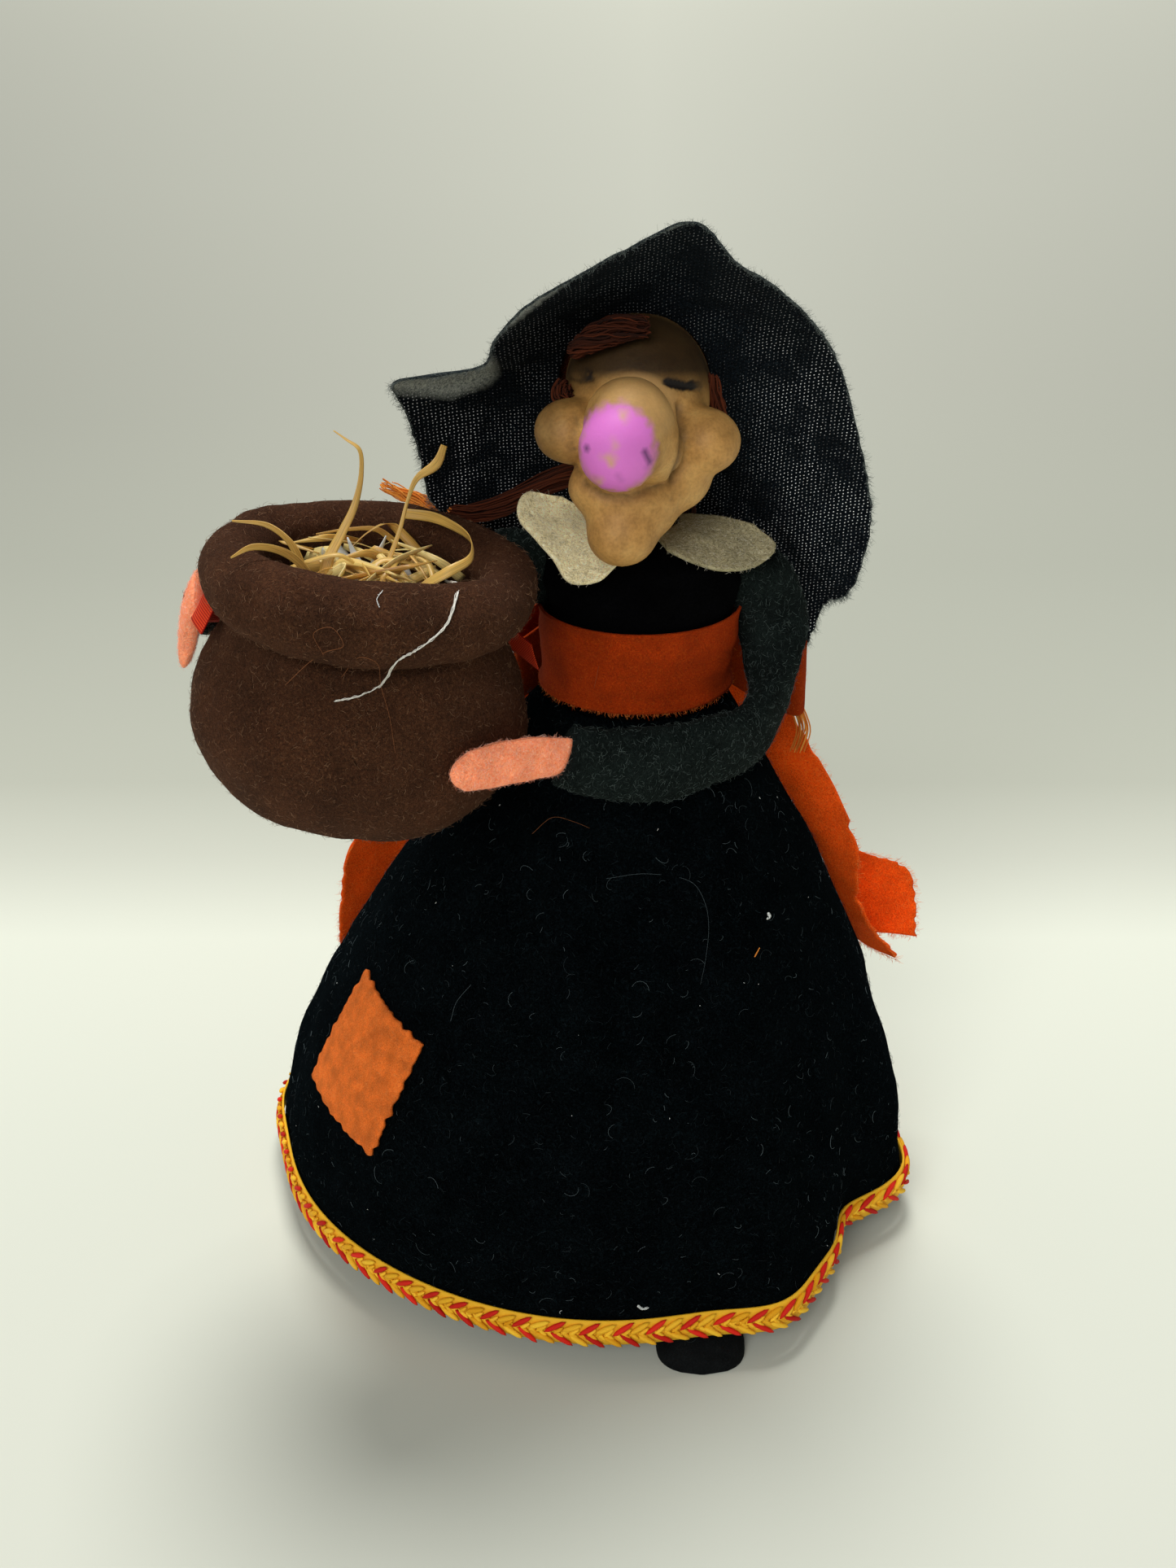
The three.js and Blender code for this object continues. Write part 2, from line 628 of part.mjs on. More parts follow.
function makeHat() {
  const edge = new THREE.CatmullRomCurve3(brimEdge.map((offset) => point(...offset)), true);
  const brimSide = (u, v) => {
    const outer = edge.getPoint(((u % 1) + 1) % 1);
    const inner = openingPoint(Math.atan2(outer.z, outer.x));
    const dish = 5 * Math.sin(Math.PI * v);
    return inner.lerp(outer, v).add(point(0, dish, 0)).add(hatMiddle);
  };
  const brim = sheet(brimSide, 46, 4, velvetThickness, { closed: true });

  const outer = loft(crownRows.map((row, i) => crownRing(row, hatTilts[i])));
  const hollow = loft(hollowRows.map((row, i) => crownRing(row, hatTilts[i])));
  return [piece('hat_brim', brim, 0x10161a), piece('hat_crown', cut(outer, hollow), 0x10161a)];
}

// Each arm is a felt sleeve on one long wire that runs from hand to hand through the bodice.
const shoulderAt = (way) => point(bodiceMiddle(0.72) + way * (chestRadius + clearance), 0, shoulderHeight);
const leftStations = [
  [[4.5, -0.6, -2.2], 6.4, 6], [[7.7, -1, -9], 6.5, 5.6], [[8.6, -3.5, -19], 6.8, 5.2],
  [[6.6, -9, -28], 7.6, 5], [[1.1, -19, -32.5], 8.6, 4.8], [[-9.4, -30, -32.5], 9.2, 4.6],
  [[-21.4, -39.5, -31], 9.4, 4.5], [[-33.4, -46.5, -27.5], 8.8, 4.3], [[-41.9, -51, -23.5], 7.2, 4],
];
const rightStations = [
  [[-5, 0.6, -2.2], 6.4, 6], [[-10.6, 3.5, -8], 6.5, 5.4], [[-20.6, 8.5, -13], 6.8, 4.6],
  [[-36.6, 11, -13.5], 7, 4], [[-53.6, 8.5, -11], 6.8, 3.8], [[-66.6, 1, -9], 6.4, 3.6],
  [[-74.9, -11, -5], 6, 3.4], [[-76.1, -20, -1.5], 5.6, 3.2],
];

function sleeveFor(way, offsets) {
  const start = shoulderAt(way);
  const stations = [{ at: start, wide: sleeveRadius, thin: sleeveRadius },
    ...offsets.map(([at, wide, thin]) => ({ at: place(start, at), wide, thin }))];
  return { start, stations };
}

function makeArms() {
  const sleeves = [sleeveFor(1, leftStations), sleeveFor(-1, rightStations)];
  const flat = handThickness / 2;
  const hands = [
    [[[-0.25, -0.17, 0.1], 4.4, 0.85], [[-8, -6.5, 2.4], 5.2, 1], [[-15.6, -12.9, 4], 5.2, 1],
      [[-21.8, -18.4, 5], 3.2, 0.7]],
    [[[-0.03, -0.28, 0.15], 7.5, 0.8], [[0.2, -6, 1], 10.6, 1], [[0.8, -12, 1.4], 10.8, 1],
      [[2, -17, 1.6], 6, 0.7]],
  ];
  const parts = sleeves.map(({ start, stations }, side) => {
    const way = side ? -1 : 1;
    const cuff = stations[stations.length - 1].at;
    const handStations = hands[side].map(([at, wide, thin]) => (
      { at: place(cuff, at), wide, thin: thin * flat }));
    const firstTangent = cuff.clone().sub(stations[stations.length - 2].at).normalize();
    const hand = limb(handStations, point(side ? 0.22 : 0.15, 0, 1), { sides: 10, steps: 6, firstTangent });
    const outwards = point(way, 0, 0);
    const sleeve = limb(stations, point(way * 0.2, 0.1, 1), { sides: 10, steps: 15, firstTangent: outwards });
    const atShoulder = [-8, -3, 0.4, 2].map((out) => place(start, [way * out, 0, 0]));
    const route = (reach) => [...atShoulder, ...stations.slice(2).map(({ at }) => at),
      cuff.clone().lerp(handStations[1].at, reach)];
    return { hand, sleeve, route };
  });
  const wireShape = (grow, reach) => swept([...parts[0].route(reach).reverse(), ...parts[1].route(reach)],
    circleShape(wireRadius + grow, 6), 48);
  const wireRoom = wireShape(clearance, 0.68);
  return {
    wire: wireShape(0, 0.6),
    sleeves: parts.map(({ sleeve, hand }) => [cut(sleeve, wireRoom), cut(hand, wireRoom, potRoom())]),
  };
}

function makeArmPieces() {
  const { wire, sleeves } = makeArms();
  return [
    piece('arm_wire', wire, 0x8d9092, 0.4),
    piece('sleeve_left', sleeves[0][0], charcoal),
    piece('hand_left', sleeves[0][1], 0xf0a184),
    piece('sleeve_right', sleeves[1][0], charcoal),
    piece('hand_right', sleeves[1][1], 0xf0a184),
  ];
}

// The cauldron leans towards the figure. Its group's origin is the middle of its underside.
const potFoot = place(waist, [-64.2, -38, -9.1]);
const potOutside = new THREE.SplineCurve([[17, 0.3], [27, 4.5], [33.8, 12], [bellyRadius, bellyHeight],
  [bellyRadius - 1.4, 33], [neckRadius, neckHeight]].map((at) => new THREE.Vector2(...at)));

// The profile runs up the outside and round the rolled rim.
function potOutline(grow, rimEnd) {
  const wall = potOutside.getPoints(11).map(({ x, y }) => new THREE.Vector2(x + grow, y));
  const profile = [new THREE.Vector2(0, -grow), ...wall];
  const tube = rimTube + grow;
  for (let angle = -60; angle <= rimEnd; angle += 30) {
    const turn = degrees(angle);
    profile.push(new THREE.Vector2(rimRadius + tube * Math.cos(turn), rimHeight + tube * Math.sin(turn)));
  }
  return profile;
}

function potRoom() {
  const profile = [...potOutline(clearance, 90), new THREE.Vector2(0, rimHeight + rimTube)];
  const room = new THREE.LatheGeometry(profile, 26).rotateX(Math.PI / 2);
  return room.rotateY(degrees(potLean)).translate(potFoot.x, potFoot.y, potFoot.z);
}

function potRadiusAt(height) {
  const points = potOutside.getPoints(40);
  return points.reduce((best, at) => (Math.abs(at.y - height) < Math.abs(best.y - height) ? at : best)).x;
}

function makeCauldron() {
  const cauldron = new THREE.Group();
  cauldron.position.copy(potFoot);
  cauldron.rotation.y = degrees(potLean);
  const inside = [[neckRadius - potWall - 0.8, neckHeight], [bellyRadius - potWall - 1.2, 34],
    [bellyRadius - potWall, bellyHeight], [30, 11], [22, potFloor + 1], [0, potFloor]];
  const profile = [...potOutline(0, 210), ...inside.map((at) => new THREE.Vector2(...at))];
  const pot = new THREE.LatheGeometry(profile, 26).rotateX(Math.PI / 2);

  // Wadding fills the pot up to the neck, with a flat seat for the straw.
  const loose = 2 * clearance;
  const fill = [[0, potFloor + clearance], [21, potFloor + 1 + loose], [29, 11 + loose],
    [bellyRadius - potWall - loose, bellyHeight], [bellyRadius - potWall - 1.2 - loose, 33.5],
    [neckRadius - potWall - 0.8 - loose, neckHeight - 1], [rimRadius - rimTube - 1.2, waddingTop - 2],
    [18, waddingTop], [0, waddingTop]];
  const wadding = new THREE.LatheGeometry(fill.map((at) => new THREE.Vector2(...at)), 26).rotateX(Math.PI / 2);

  cauldron.add(
    piece('cauldron', pot, 0x4a3026),
    piece('wadding', wadding, 0xd6d8d4),
    piece('pot_ribbon', makePotRibbon(), 0xc02010),
    ...makeStraw(),
  );
  return cauldron;
}

// A woven ribbon runs round the back of the cauldron under its rim, with its two ends turned out.
function makePotRibbon() {
  const half = 3.4;
  const middle = neckHeight - 6.5;
  const hug = [36, 52, 75, 100, 125, 150, 172, 188].map((angle) => [angle, 0]);
  const rows = [[27, 8], [31, 4.5], ...hug, [196, 1.5], [203, 2.5]].reverse().map(([angle, out]) => (
    [half, 0, -half].map((edge) => {
      const radius = Math.max(potRadiusAt(middle + edge), neckRadius) + 2 * clearance + out;
      return point(radius * Math.cos(degrees(angle)), radius * Math.sin(degrees(angle)), middle + edge);
    })));
  return sheet(bandSurface(rows), 2, 28, 0.6);
}

// Straw strips in the mouth, as points from the cauldron's foot: width, thickness, route.
const root = waddingTop + 3 * clearance;
const strawStrips = {
  straw_tall: [2, 0.6, [[-9.6, -5, root], [-9, -3.5, 58], [-6.7, 0, 63.6], [-4.6, 3, 69.2], [-3.9, 5, 75.8],
    [-4.8, 6, 80.4], [-7.8, 7, 81.9], [-10.6, 8, 83.2]]],
  straw_wide: [2.4, 0.6, [[1.5, -3, root], [3, 1, 56], [5.2, 5, 64], [6.2, 8, 69.8], [7.6, 10, 74.1],
    [11.5, 12, 77.4], [12.7, 13, 81.2]]],
  straw_loop: [2.6, 0.6, [[4.9, 19.5, 62.6], [11.5, 17.5, 63.2], [16.5, 13, 63.3], [20.1, 6, 63.7],
    [21.4, -4, 64.2], [20.6, -10, 64.2], [17, -14, 63], [12, -13.5, 59], [8.5, -11, 54], [7.5, -9.5, root]]],
  straw_curl_back: [2, 0.6, [[-29.3, -4, 65], [-21.5, -6, 65.6], [-16.4, -8, 63], [-13.6, -8, 57],
    [-12.2, -7, root]]],
  straw_curl_front: [1.8, 0.6, [[-26.7, -22, 63.8], [-22.8, -20, 65.8], [-16.4, -16.5, 64], [-11.5, -13, 58],
    [-9, -11, root]]],
};

function makeStraw() {
  const strips = Object.entries(strawStrips).map(([name, [width, thickness, route]]) => piece(name,
    swept(route.map((at) => point(...at)), stripShape(width, thickness), 3 * (route.length - 1)), straw));
  // The nest is a tangle of short strips pressed together on the wadding.
  const bed = new THREE.CylinderGeometry(15, 17, 1.4, 14).rotateX(Math.PI / 2);
  bed.translate(0, 0, waddingTop + clearance + 0.7);
  let nest = solidOf(bed);
  const count = 6;
  for (let strip = 0; strip < count; strip += 1) {
    const angle = strip / count * 2 * Math.PI;
    const reach = 7 + 4 * ((strip * 0.37) % 1);
    const onBed = (turn, out, rise) => point(out * Math.cos(turn), out * Math.sin(turn), waddingTop + rise);
    const start = onBed(angle, reach, 1.6);
    const middle = onBed(angle + 1.1, 0.4 * reach, 3.6);
    const end = onBed(angle + 2, reach, 1.6);
    nest = nest.add(solidOf(swept([start, middle, end], stripShape(1.8, 0.8), 4)));
  }
  const room = Object.values(strawStrips).map(([width, thickness, route]) => {
    const low = route.map(([x, y, z]) => point(x, y, z === root ? z - clearance : z));
    return swept(low, stripShape(width + 2 * clearance, thickness + 2 * clearance), 3 * (route.length - 1));
  });
  const body = room.reduce((rest, cutter) => rest.subtract(solidOf(cutter)), nest);
  return [...strips, piece('straw_nest', geometryOf(body), straw)];
}

const figure = new THREE.Group();
figure.add(...makeFoot(), ...makeBodice(), ...makeHead(), ...makeArmPieces(), makeCauldron());

export default figure;
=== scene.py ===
import json
import math

import bmesh
import bpy
import numpy as np
from mathutils import Matrix, Vector, noise
from mathutils.bvhtree import BVHTree

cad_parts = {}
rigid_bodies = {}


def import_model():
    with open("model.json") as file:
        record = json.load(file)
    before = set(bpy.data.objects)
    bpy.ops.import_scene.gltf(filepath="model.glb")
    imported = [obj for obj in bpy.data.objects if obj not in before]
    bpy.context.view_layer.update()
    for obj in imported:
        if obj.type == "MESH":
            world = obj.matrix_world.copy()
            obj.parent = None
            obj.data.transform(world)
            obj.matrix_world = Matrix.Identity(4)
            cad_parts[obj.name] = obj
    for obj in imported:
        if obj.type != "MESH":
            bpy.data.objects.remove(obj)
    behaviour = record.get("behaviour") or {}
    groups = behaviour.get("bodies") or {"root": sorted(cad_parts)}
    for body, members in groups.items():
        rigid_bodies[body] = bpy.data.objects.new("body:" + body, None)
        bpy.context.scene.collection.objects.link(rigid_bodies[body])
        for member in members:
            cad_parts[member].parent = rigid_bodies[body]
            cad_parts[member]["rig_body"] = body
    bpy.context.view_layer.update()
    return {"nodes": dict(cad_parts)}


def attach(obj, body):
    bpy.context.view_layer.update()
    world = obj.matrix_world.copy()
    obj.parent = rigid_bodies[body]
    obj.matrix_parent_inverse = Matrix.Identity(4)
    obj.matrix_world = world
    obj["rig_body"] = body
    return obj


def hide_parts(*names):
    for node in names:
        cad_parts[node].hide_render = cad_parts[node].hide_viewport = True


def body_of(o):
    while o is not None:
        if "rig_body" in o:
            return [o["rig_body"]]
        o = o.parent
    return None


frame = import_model()
mm = 0.001
print("frame loaded")

# Camera, in mm and degrees: where the photograph was taken from
photo = {"place": (0, -447, 341), "pitch": 26.7, "focal": 2500, "middle": (722.5, 963.5), "lens": 46.7}


# Colours and materials

def linear(hexColour):
    channels = [int(hexColour[i:i + 2], 16) / 255 for i in (1, 3, 5)]
    return (*[c / 12.92 if c <= 0.04045 else ((c + 0.055) / 1.055) ** 2.4 for c in channels], 1)


# Gives a node its colour stops, its links from other nodes' sockets, its properties and its values
def setNode(node, settings):
    for key, value in settings.items():
        if key == "stops":
            ramp = node.color_ramp
            ramp.elements.remove(ramp.elements[1])
            for i, (place, colour) in enumerate(value):
                element = ramp.elements[0] if i == 0 else ramp.elements.new(place)
                element.position = place
                element.color = linear(colour) if isinstance(colour, str) else (colour, colour, colour, 1)
        elif isinstance(value, bpy.types.NodeSocket):
            node.id_data.links.new(value, node.inputs[key])
        elif isinstance(key, str) and hasattr(node, key):
            setattr(node, key, value)
        else:
            node.inputs[key].default_value = linear(value) if isinstance(value, str) else value


def addNode(tree, kind, settings, output=0):
    node = tree.nodes.new("ShaderNode" + kind)
    setNode(node, settings)
    return node.outputs[output]


def startMaterial(name):
    material = bpy.data.materials.new(name)
    material.use_nodes = True
    return material, material.node_tree


def finishMaterial(material, settings):
    setNode(material.node_tree.nodes["Principled BSDF"], settings)
    return material


# Felt and velvet are matted or cut fibres: a fine mottle of fibre ends, clouds where the nap was
# pressed, and thin curled hairs on top that catch the light. The four colours are of dark, middling
# and light fibres and of the hairs. Fibre, patch, curl and bump are sizes in mm, and the others
# are shares: hairs seen, sheen, the clouds' lowest and highest shade, gloss, and through, a painted
# glow in the felt's own colour that brightens it as painted light.
def makeFelt(name, colours, fibre, patch, curl, bump, hairs, sheen=0.2, low=0.55, high=1.2, gloss=0.1,
             through=0.0, glow=None):
    material, tree = startMaterial(name)
    dark, middling, light, hair = colours.split()
    coords = addNode(tree, "TexCoord", {}, "Object")
    grain = addNode(tree, "TexNoise", {"Scale": 1000 / fibre, "Detail": 3, "Roughness": 0.65,
                                       "Distortion": 1.2, "Vector": coords})
    cloud = addNode(tree, "TexNoise", {"Scale": 1000 / patch, "Detail": 4, "Vector": coords})
    curls = addNode(tree, "TexNoise", {"Scale": 1000 / curl, "Detail": 1.5, "Distortion": 2.2,
                                       "Vector": coords})
    base = addNode(tree, "ValToRGB", {"stops": [(0.3, dark), (0.5, middling), (0.72, light)], "Fac": grain})
    shade = addNode(tree, "ValToRGB", {"stops": [(0.3, low), (0.7, high)], "Fac": cloud})
    strand = addNode(tree, "ValToRGB", {"stops": [(0.47, 0.0), (0.5, 1.0), (0.53, 0.0)], "Fac": curls})
    faint = addNode(tree, "Math", {"operation": "MULTIPLY", 0: strand, 1: hairs})
    mottled = addNode(tree, "MixRGB", {"blend_type": "MULTIPLY", "Fac": 1.0, "Color1": base, "Color2": shade})
    colour = addNode(tree, "MixRGB", {"Fac": faint, "Color1": mottled, "Color2": hair})
    height = addNode(tree, "Math", {"operation": "MULTIPLY_ADD", 0: strand, 1: 0.6, 2: grain})
    normal = addNode(tree, "Bump", {"Strength": 0.9, "Distance": bump * mm, "Height": height})
    # The emission is no lamp: a painted glow in the felt's own colour.
    return finishMaterial(material, {
        "Roughness": 1.0, "Specular IOR Level": gloss, "Sheen Weight": sheen, "Sheen Roughness": 0.45,
        "Sheen Tint": glow or light, "Base Color": colour, "Emission Color": colour,
        "Emission Strength": through, "Normal": normal})


# Loose fibres or yarn of one colour family: each strand has its own shade.
def makeStrand(name, dark, light, roughness=0.8):
    material, tree = startMaterial(name)
    island = addNode(tree, "NewGeometry", {}, "Random Per Island")
    shade = addNode(tree, "ValToRGB", {"stops": [(0.0, dark), (1.0, light)], "Fac": island})
    return finishMaterial(material, {"Roughness": roughness, "Specular IOR Level": 0.2, "Base Color": shade})


skirtFlock = makeFelt("black flocked felt", "#010202 #040607 #0c1316 #222e33", fibre=0.5, patch=9, curl=2.2,
                      bump=0.25, hairs=0.2, sheen=0.03, glow="#5a6a70", gloss=0.0)
skirtFibre = makeStrand("black flock fibre", "#030506", "#1f2b2f")
shoeFelt = makeFelt("black pressed felt", "#060707 #0d0f10 #191c1d #2c3132", fibre=0.45, patch=6, curl=1.8,
                    bump=0.25, hairs=0.2, sheen=0.05)
bodiceVelvet = makeFelt("black cut velvet", "#010101 #040405 #0b0b0d #151518", fibre=0.35, patch=6, curl=1.5,
                        bump=0.15, hairs=0.1, sheen=0.04, gloss=0.02)
# One orange velvet in two copies: the band, knot and loops are painted darker as shade, and the tails
# lighter, with a faint glow, as painted light.
shadedVelvet = makeFelt("orange cut velvet", "#842402 #a83204 #c44c0c #e07428", fibre=0.35, patch=9, curl=1.6,
                      bump=0.25, hairs=0.2, sheen=0.12, low=0.72, high=1.12)
litVelvet = makeFelt("sunlit orange velvet", "#b83404 #f04c08 #ff7620 #ffa04c", fibre=0.35, patch=9, curl=1.6,
                     bump=0.25, hairs=0.2, sheen=0.16, low=0.8, through=0.08)
sashFibre = makeStrand("orange velvet fibre", "#d44c0e", "#ff9a44")
patchSuede = makeFelt("orange suede", "#cc5218 #f57426 #ff9448 #ffae70", fibre=0.25, patch=4, curl=1.4,
                      bump=0.25, hairs=0.3, sheen=0.12, low=0.75)
# The collar's lobes are one cream felt in two copies: the left lobe's is brightened and glows faintly as
# painted light, the right lobe's is darker as painted shade.
collarFelt = makeFelt("cream wool felt", "#a89a6c #ecdcaa #fbf3d4 #fffbe8", fibre=0.7, patch=6, curl=1.6,
                      bump=0.7, hairs=0.3, sheen=0.14, low=0.9, high=1.3, through=0.14)
shadedCollarFelt = makeFelt("dusty cream wool felt", "#7a7050 #bcb088 #dcd2ac #dcd2ac", fibre=0.7, patch=6,
                       curl=1.6, bump=0.7, hairs=0.3, sheen=0.08, low=0.8, high=1.1)
collarFibre = makeStrand("cream felt fibre", "#b5ac8e", "#ece6d2")
sleeveFelt = makeFelt("charcoal wool felt", "#0b100f #141b19 #212a28 #46524f", fibre=0.5, patch=7, curl=2.0,
                      bump=0.35, hairs=0.2, sheen=0.06, gloss=0.05)
sleeveFibre = makeStrand("charcoal felt fibre", "#18201e", "#5c6864")
# The mitts' felt glows faintly in its own colour: painted light.
handFelt = makeFelt("salmon wool felt", "#dc6e42 #fa9266 #ffb48e #ffd2b4", fibre=0.45, patch=5, curl=1.8,
                    bump=0.4, hairs=0.3, low=0.95, high=1.3, through=0.2)
handFibre = makeStrand("salmon felt fibre", "#f08c64", "#ffd8c4")
potFelt = makeFelt("brown wool felt", "#241409 #432718 #614029 #8a6246", fibre=0.5, patch=12, curl=2.0,
                   bump=0.6, hairs=0.2, sheen=0.14, glow="#8a5c40", low=0.66)
potFibre = makeStrand("brown felt fibre", "#3a2016", "#9c7658")
hatNap = makeFelt("brushed hat cloth, outside", "#161c20 #262e32 #3f494b #737c76", fibre=0.45, patch=8,
                  curl=1.8, bump=0.4, hairs=0.3, sheen=0.12)
hatFibre = makeStrand("hat cloth fibre", "#1c2326", "#7c857f")
woolWadding = makeFelt("polyester wadding", "#9a9c97 #c9cbc6 #e2e3df #f2f2ee", fibre=0.8, patch=5, curl=1.8,
                       bump=0.8, hairs=0.4, low=0.5)
boardCard = makeFelt("grey millboard", "#6f6757 #8f8673 #a39a86 #b5ad9b", fibre=0.9, patch=14, curl=3,
                     bump=0.12, hairs=0.25, sheen=0.0, low=0.85, high=1.08)
# The hair is one orange wool: the wig and the locks under the hat are painted dark as shade. The bright yarn,
# for the lock's end, the bow's frayed yarn and a bit on the skirt, is painted light.
wigFelt = makeFelt("matted orange wool, painted shade", "#200c05 #3c1709 #5e280f #7c4020", fibre=0.5, patch=4, curl=1.8,
                   bump=0.8, hairs=0.5)
shadedHairYarn = makeStrand("rust wool yarn", "#1e0b05", "#54240f", 1.0)
litYarn = makeStrand("orange wool yarn", "#c8641c", "#f4a044", 1.0)
flyaway = makeStrand("fine auburn hair", "#5a2c14", "#a86a40", 0.6)
threadCotton = makeStrand("white cotton thread", "#cfcabd", "#f4f1e8")
lintDust = makeStrand("pale lint", "#1c2529", "#6a777b")
whiteFibre = makeStrand("white fluff", "#a8adaa", "#eef0ec")
milkyFilm = makeStrand("milky film", "#b4b8b4", "#e2e5e0", 0.35)
braidYellow = makeStrand("yellow braid yarn", "#dc980c", "#fcc834", 0.7)
braidRed = makeStrand("red braid yarn", "#b01008", "#e42a18", 0.7)


# Plain woven hat cloth, brushed on the other side. Light through the gaps between its threads is
# painted: pale pinholes 0.9 mm apart, in patches, with a faint glow.
def makeHatWeave():
    material, tree = startMaterial("open woven hat cloth, inside")
    uv = addNode(tree, "UVMap", {})
    coords = addNode(tree, "TexCoord", {}, "Object")
    holes = addNode(tree, "TexVoronoi", {"voronoi_dimensions": "2D", "Scale": 1000 / 0.9, "Randomness": 0.32,
                                         "Vector": uv}, "Distance")
    gap = addNode(tree, "ValToRGB", {"stops": [(0.1, 1.0), (0.18, 0.0)], "Fac": holes})
    # Noise patches and the open layer set where the painted light through the pinholes shows.
    worn = addNode(tree, "TexNoise", {"Scale": 1000 / 9, "Detail": 4, "Roughness": 0.7, "Vector": coords})
    patch = addNode(tree, "ValToRGB", {"stops": [(0.42, 0.05), (0.6, 1.0)], "Fac": worn})
    thin = addNode(tree, "Attribute", {"attribute_name": "open"}, "Fac")
    lit = addNode(tree, "Math", {"operation": "MULTIPLY", 0: thin, 1: patch})
    seen = addNode(tree, "Math", {"operation": "MULTIPLY", 0: gap, 1: lit})
    thread = addNode(tree, "TexNoise", {"Scale": 1000 / 0.5, "Detail": 3, "Distortion": 0.8,
                                        "Vector": coords})
    base = addNode(tree, "ValToRGB", {"stops": [(0.35, "#05080b"), (0.55, "#0c1116"), (0.75, "#1a2228")],
                                      "Fac": thread})
    # The pinholes are painted near white and glow faintly, as painted light.
    holed = addNode(tree, "MixRGB", {"Fac": seen, "Color1": base, "Color2": "#f2f4f0"})
    shine = addNode(tree, "Math", {"operation": "MULTIPLY", 0: seen, 1: 0.2})
    turned = addNode(tree, "Attribute", {"attribute_name": "turned"}, "Fac")
    nap = addNode(tree, "ValToRGB", {"stops": [(0.35, "#6f7674"), (0.65, "#b8beb6")], "Fac": thread})
    colour = addNode(tree, "MixRGB", {"Fac": turned, "Color1": holed, "Color2": nap})
    height = addNode(tree, "Math", {"operation": "SUBTRACT", 0: thread, 1: gap})
    normal = addNode(tree, "Bump", {"Strength": 0.8, "Distance": 0.3 * mm, "Height": height})
    return finishMaterial(material, {
        "Roughness": 1.0, "Specular IOR Level": 0.04, "Sheen Weight": 0.03, "Sheen Tint": "#8a9490",
        "Base Color": colour, "Emission Strength": shine, "Normal": normal})


# Soft vinyl, cast in one piece and painted: the paint lies in attributes of the head's mesh. The
# skin has a satin sheen and faint mottling and specks; painted shade darkens its creases, forehead
# and left cheek, and a painted highlight lightens the bridge of the nose.
def makeVinyl():
    material, tree = startMaterial("painted cast vinyl")
    coords = addNode(tree, "TexCoord", {}, "Object")
    cloud = addNode(tree, "TexNoise", {"Scale": 1000 / 7, "Detail": 5, "Roughness": 0.6, "Vector": coords})
    speck = addNode(tree, "TexNoise", {"Scale": 1000 / 0.7, "Detail": 2, "Vector": coords})
    skin = addNode(tree, "ValToRGB", {"stops": [(0.3, "#956c36"), (0.5, "#b58648"), (0.72, "#c89c5a")],
                                      "Fac": cloud})
    dust = addNode(tree, "ValToRGB", {"stops": [(0.3, 0.86), (0.6, 1.06)], "Fac": speck})
    colour = addNode(tree, "MixRGB", {"blend_type": "MULTIPLY", "Fac": 1.0, "Color1": skin, "Color2": dust})
    # The shade layer is painted shade and shadow; the worn layer holds real wear on the pink and a painted
    # highlight on the nose's bridge.
    for layer, paint in (("shade", "#120a04"), ("pink", "#d874c8"), ("worn", "#c9a066"),
                         ("scratch", "#5a3060"), ("stroke", "#16100c")):
        amount = addNode(tree, "Attribute", {"attribute_name": layer}, "Fac")
        colour = addNode(tree, "MixRGB", {"Fac": amount, "Color1": colour, "Color2": paint})
    normal = addNode(tree, "Bump", {"Strength": 0.35, "Distance": 0.2 * mm, "Height": speck})
    return finishMaterial(material, {
        "Roughness": 0.58, "Specular IOR Level": 0.3, "Subsurface Weight": 0.04, "Subsurface Scale": 1.2 * mm,
        "Base Color": colour, "Normal": normal})


# Dried straw is split flat: pale gold, glossy along its fibres, with darker flecks at the joints.
def makeStraw():
    material, tree = startMaterial("dried straw")
    island = addNode(tree, "NewGeometry", {}, "Random Per Island")
    uv = addNode(tree, "UVMap", {})
    stretch = addNode(tree, "Mapping", {"Scale": (1000 / 0.22, 1000 / 9, 1), "Vector": uv})
    lines = addNode(tree, "TexNoise", {"Scale": 1.0, "Detail": 2, "Vector": stretch})
    base = addNode(tree, "ValToRGB", {"stops": [(0.0, "#b5853a"), (0.45, "#dcb45c"), (1.0, "#f4dc94")],
                                      "Fac": island})
    line = addNode(tree, "ValToRGB", {"stops": [(0.35, 0.72), (0.6, 1.1)], "Fac": lines})
    colour = addNode(tree, "MixRGB", {"blend_type": "MULTIPLY", "Fac": 1.0, "Color1": base, "Color2": line})
    normal = addNode(tree, "Bump", {"Strength": 0.5, "Distance": 0.1 * mm, "Height": lines})
    return finishMaterial(material, {
        "Roughness": 0.42, "Specular IOR Level": 0.5, "Subsurface Weight": 0.1, "Subsurface Scale": 0.8 * mm,
        "Base Color": colour, "Normal": normal})


# Plain woven ribbon: ribs across it 0.7 mm apart, painted darker between the threads and lighter on each
# thread as a painted glint.
def makeRibbon():
    material, tree = startMaterial("red woven ribbon")
    uv = addNode(tree, "UVMap", {})
    ribs = addNode(tree, "TexWave", {"bands_direction": "Y", "Scale": 1000 / 0.7 / 3.14, "Distortion": 0.6,
                                     "Detail": 1, "Vector": uv}, "Fac")
    threads = addNode(tree, "TexWave", {"bands_direction": "X", "Scale": 1000 / 0.55 / 3.14,
                                        "Vector": uv}, "Fac")
    weave = addNode(tree, "Math", {"operation": "MULTIPLY", 0: ribs, 1: threads})
    base = addNode(tree, "ValToRGB", {"stops": [(0.0, "#9c1208"), (0.4, "#e83a16"), (1.0, "#ff7038")],
                                      "Fac": weave})
    normal = addNode(tree, "Bump", {"Strength": 0.6, "Distance": 0.12 * mm, "Height": weave})
    return finishMaterial(material, {"Roughness": 0.8, "Specular IOR Level": 0.15, "Base Color": base,
                                     "Normal": normal})


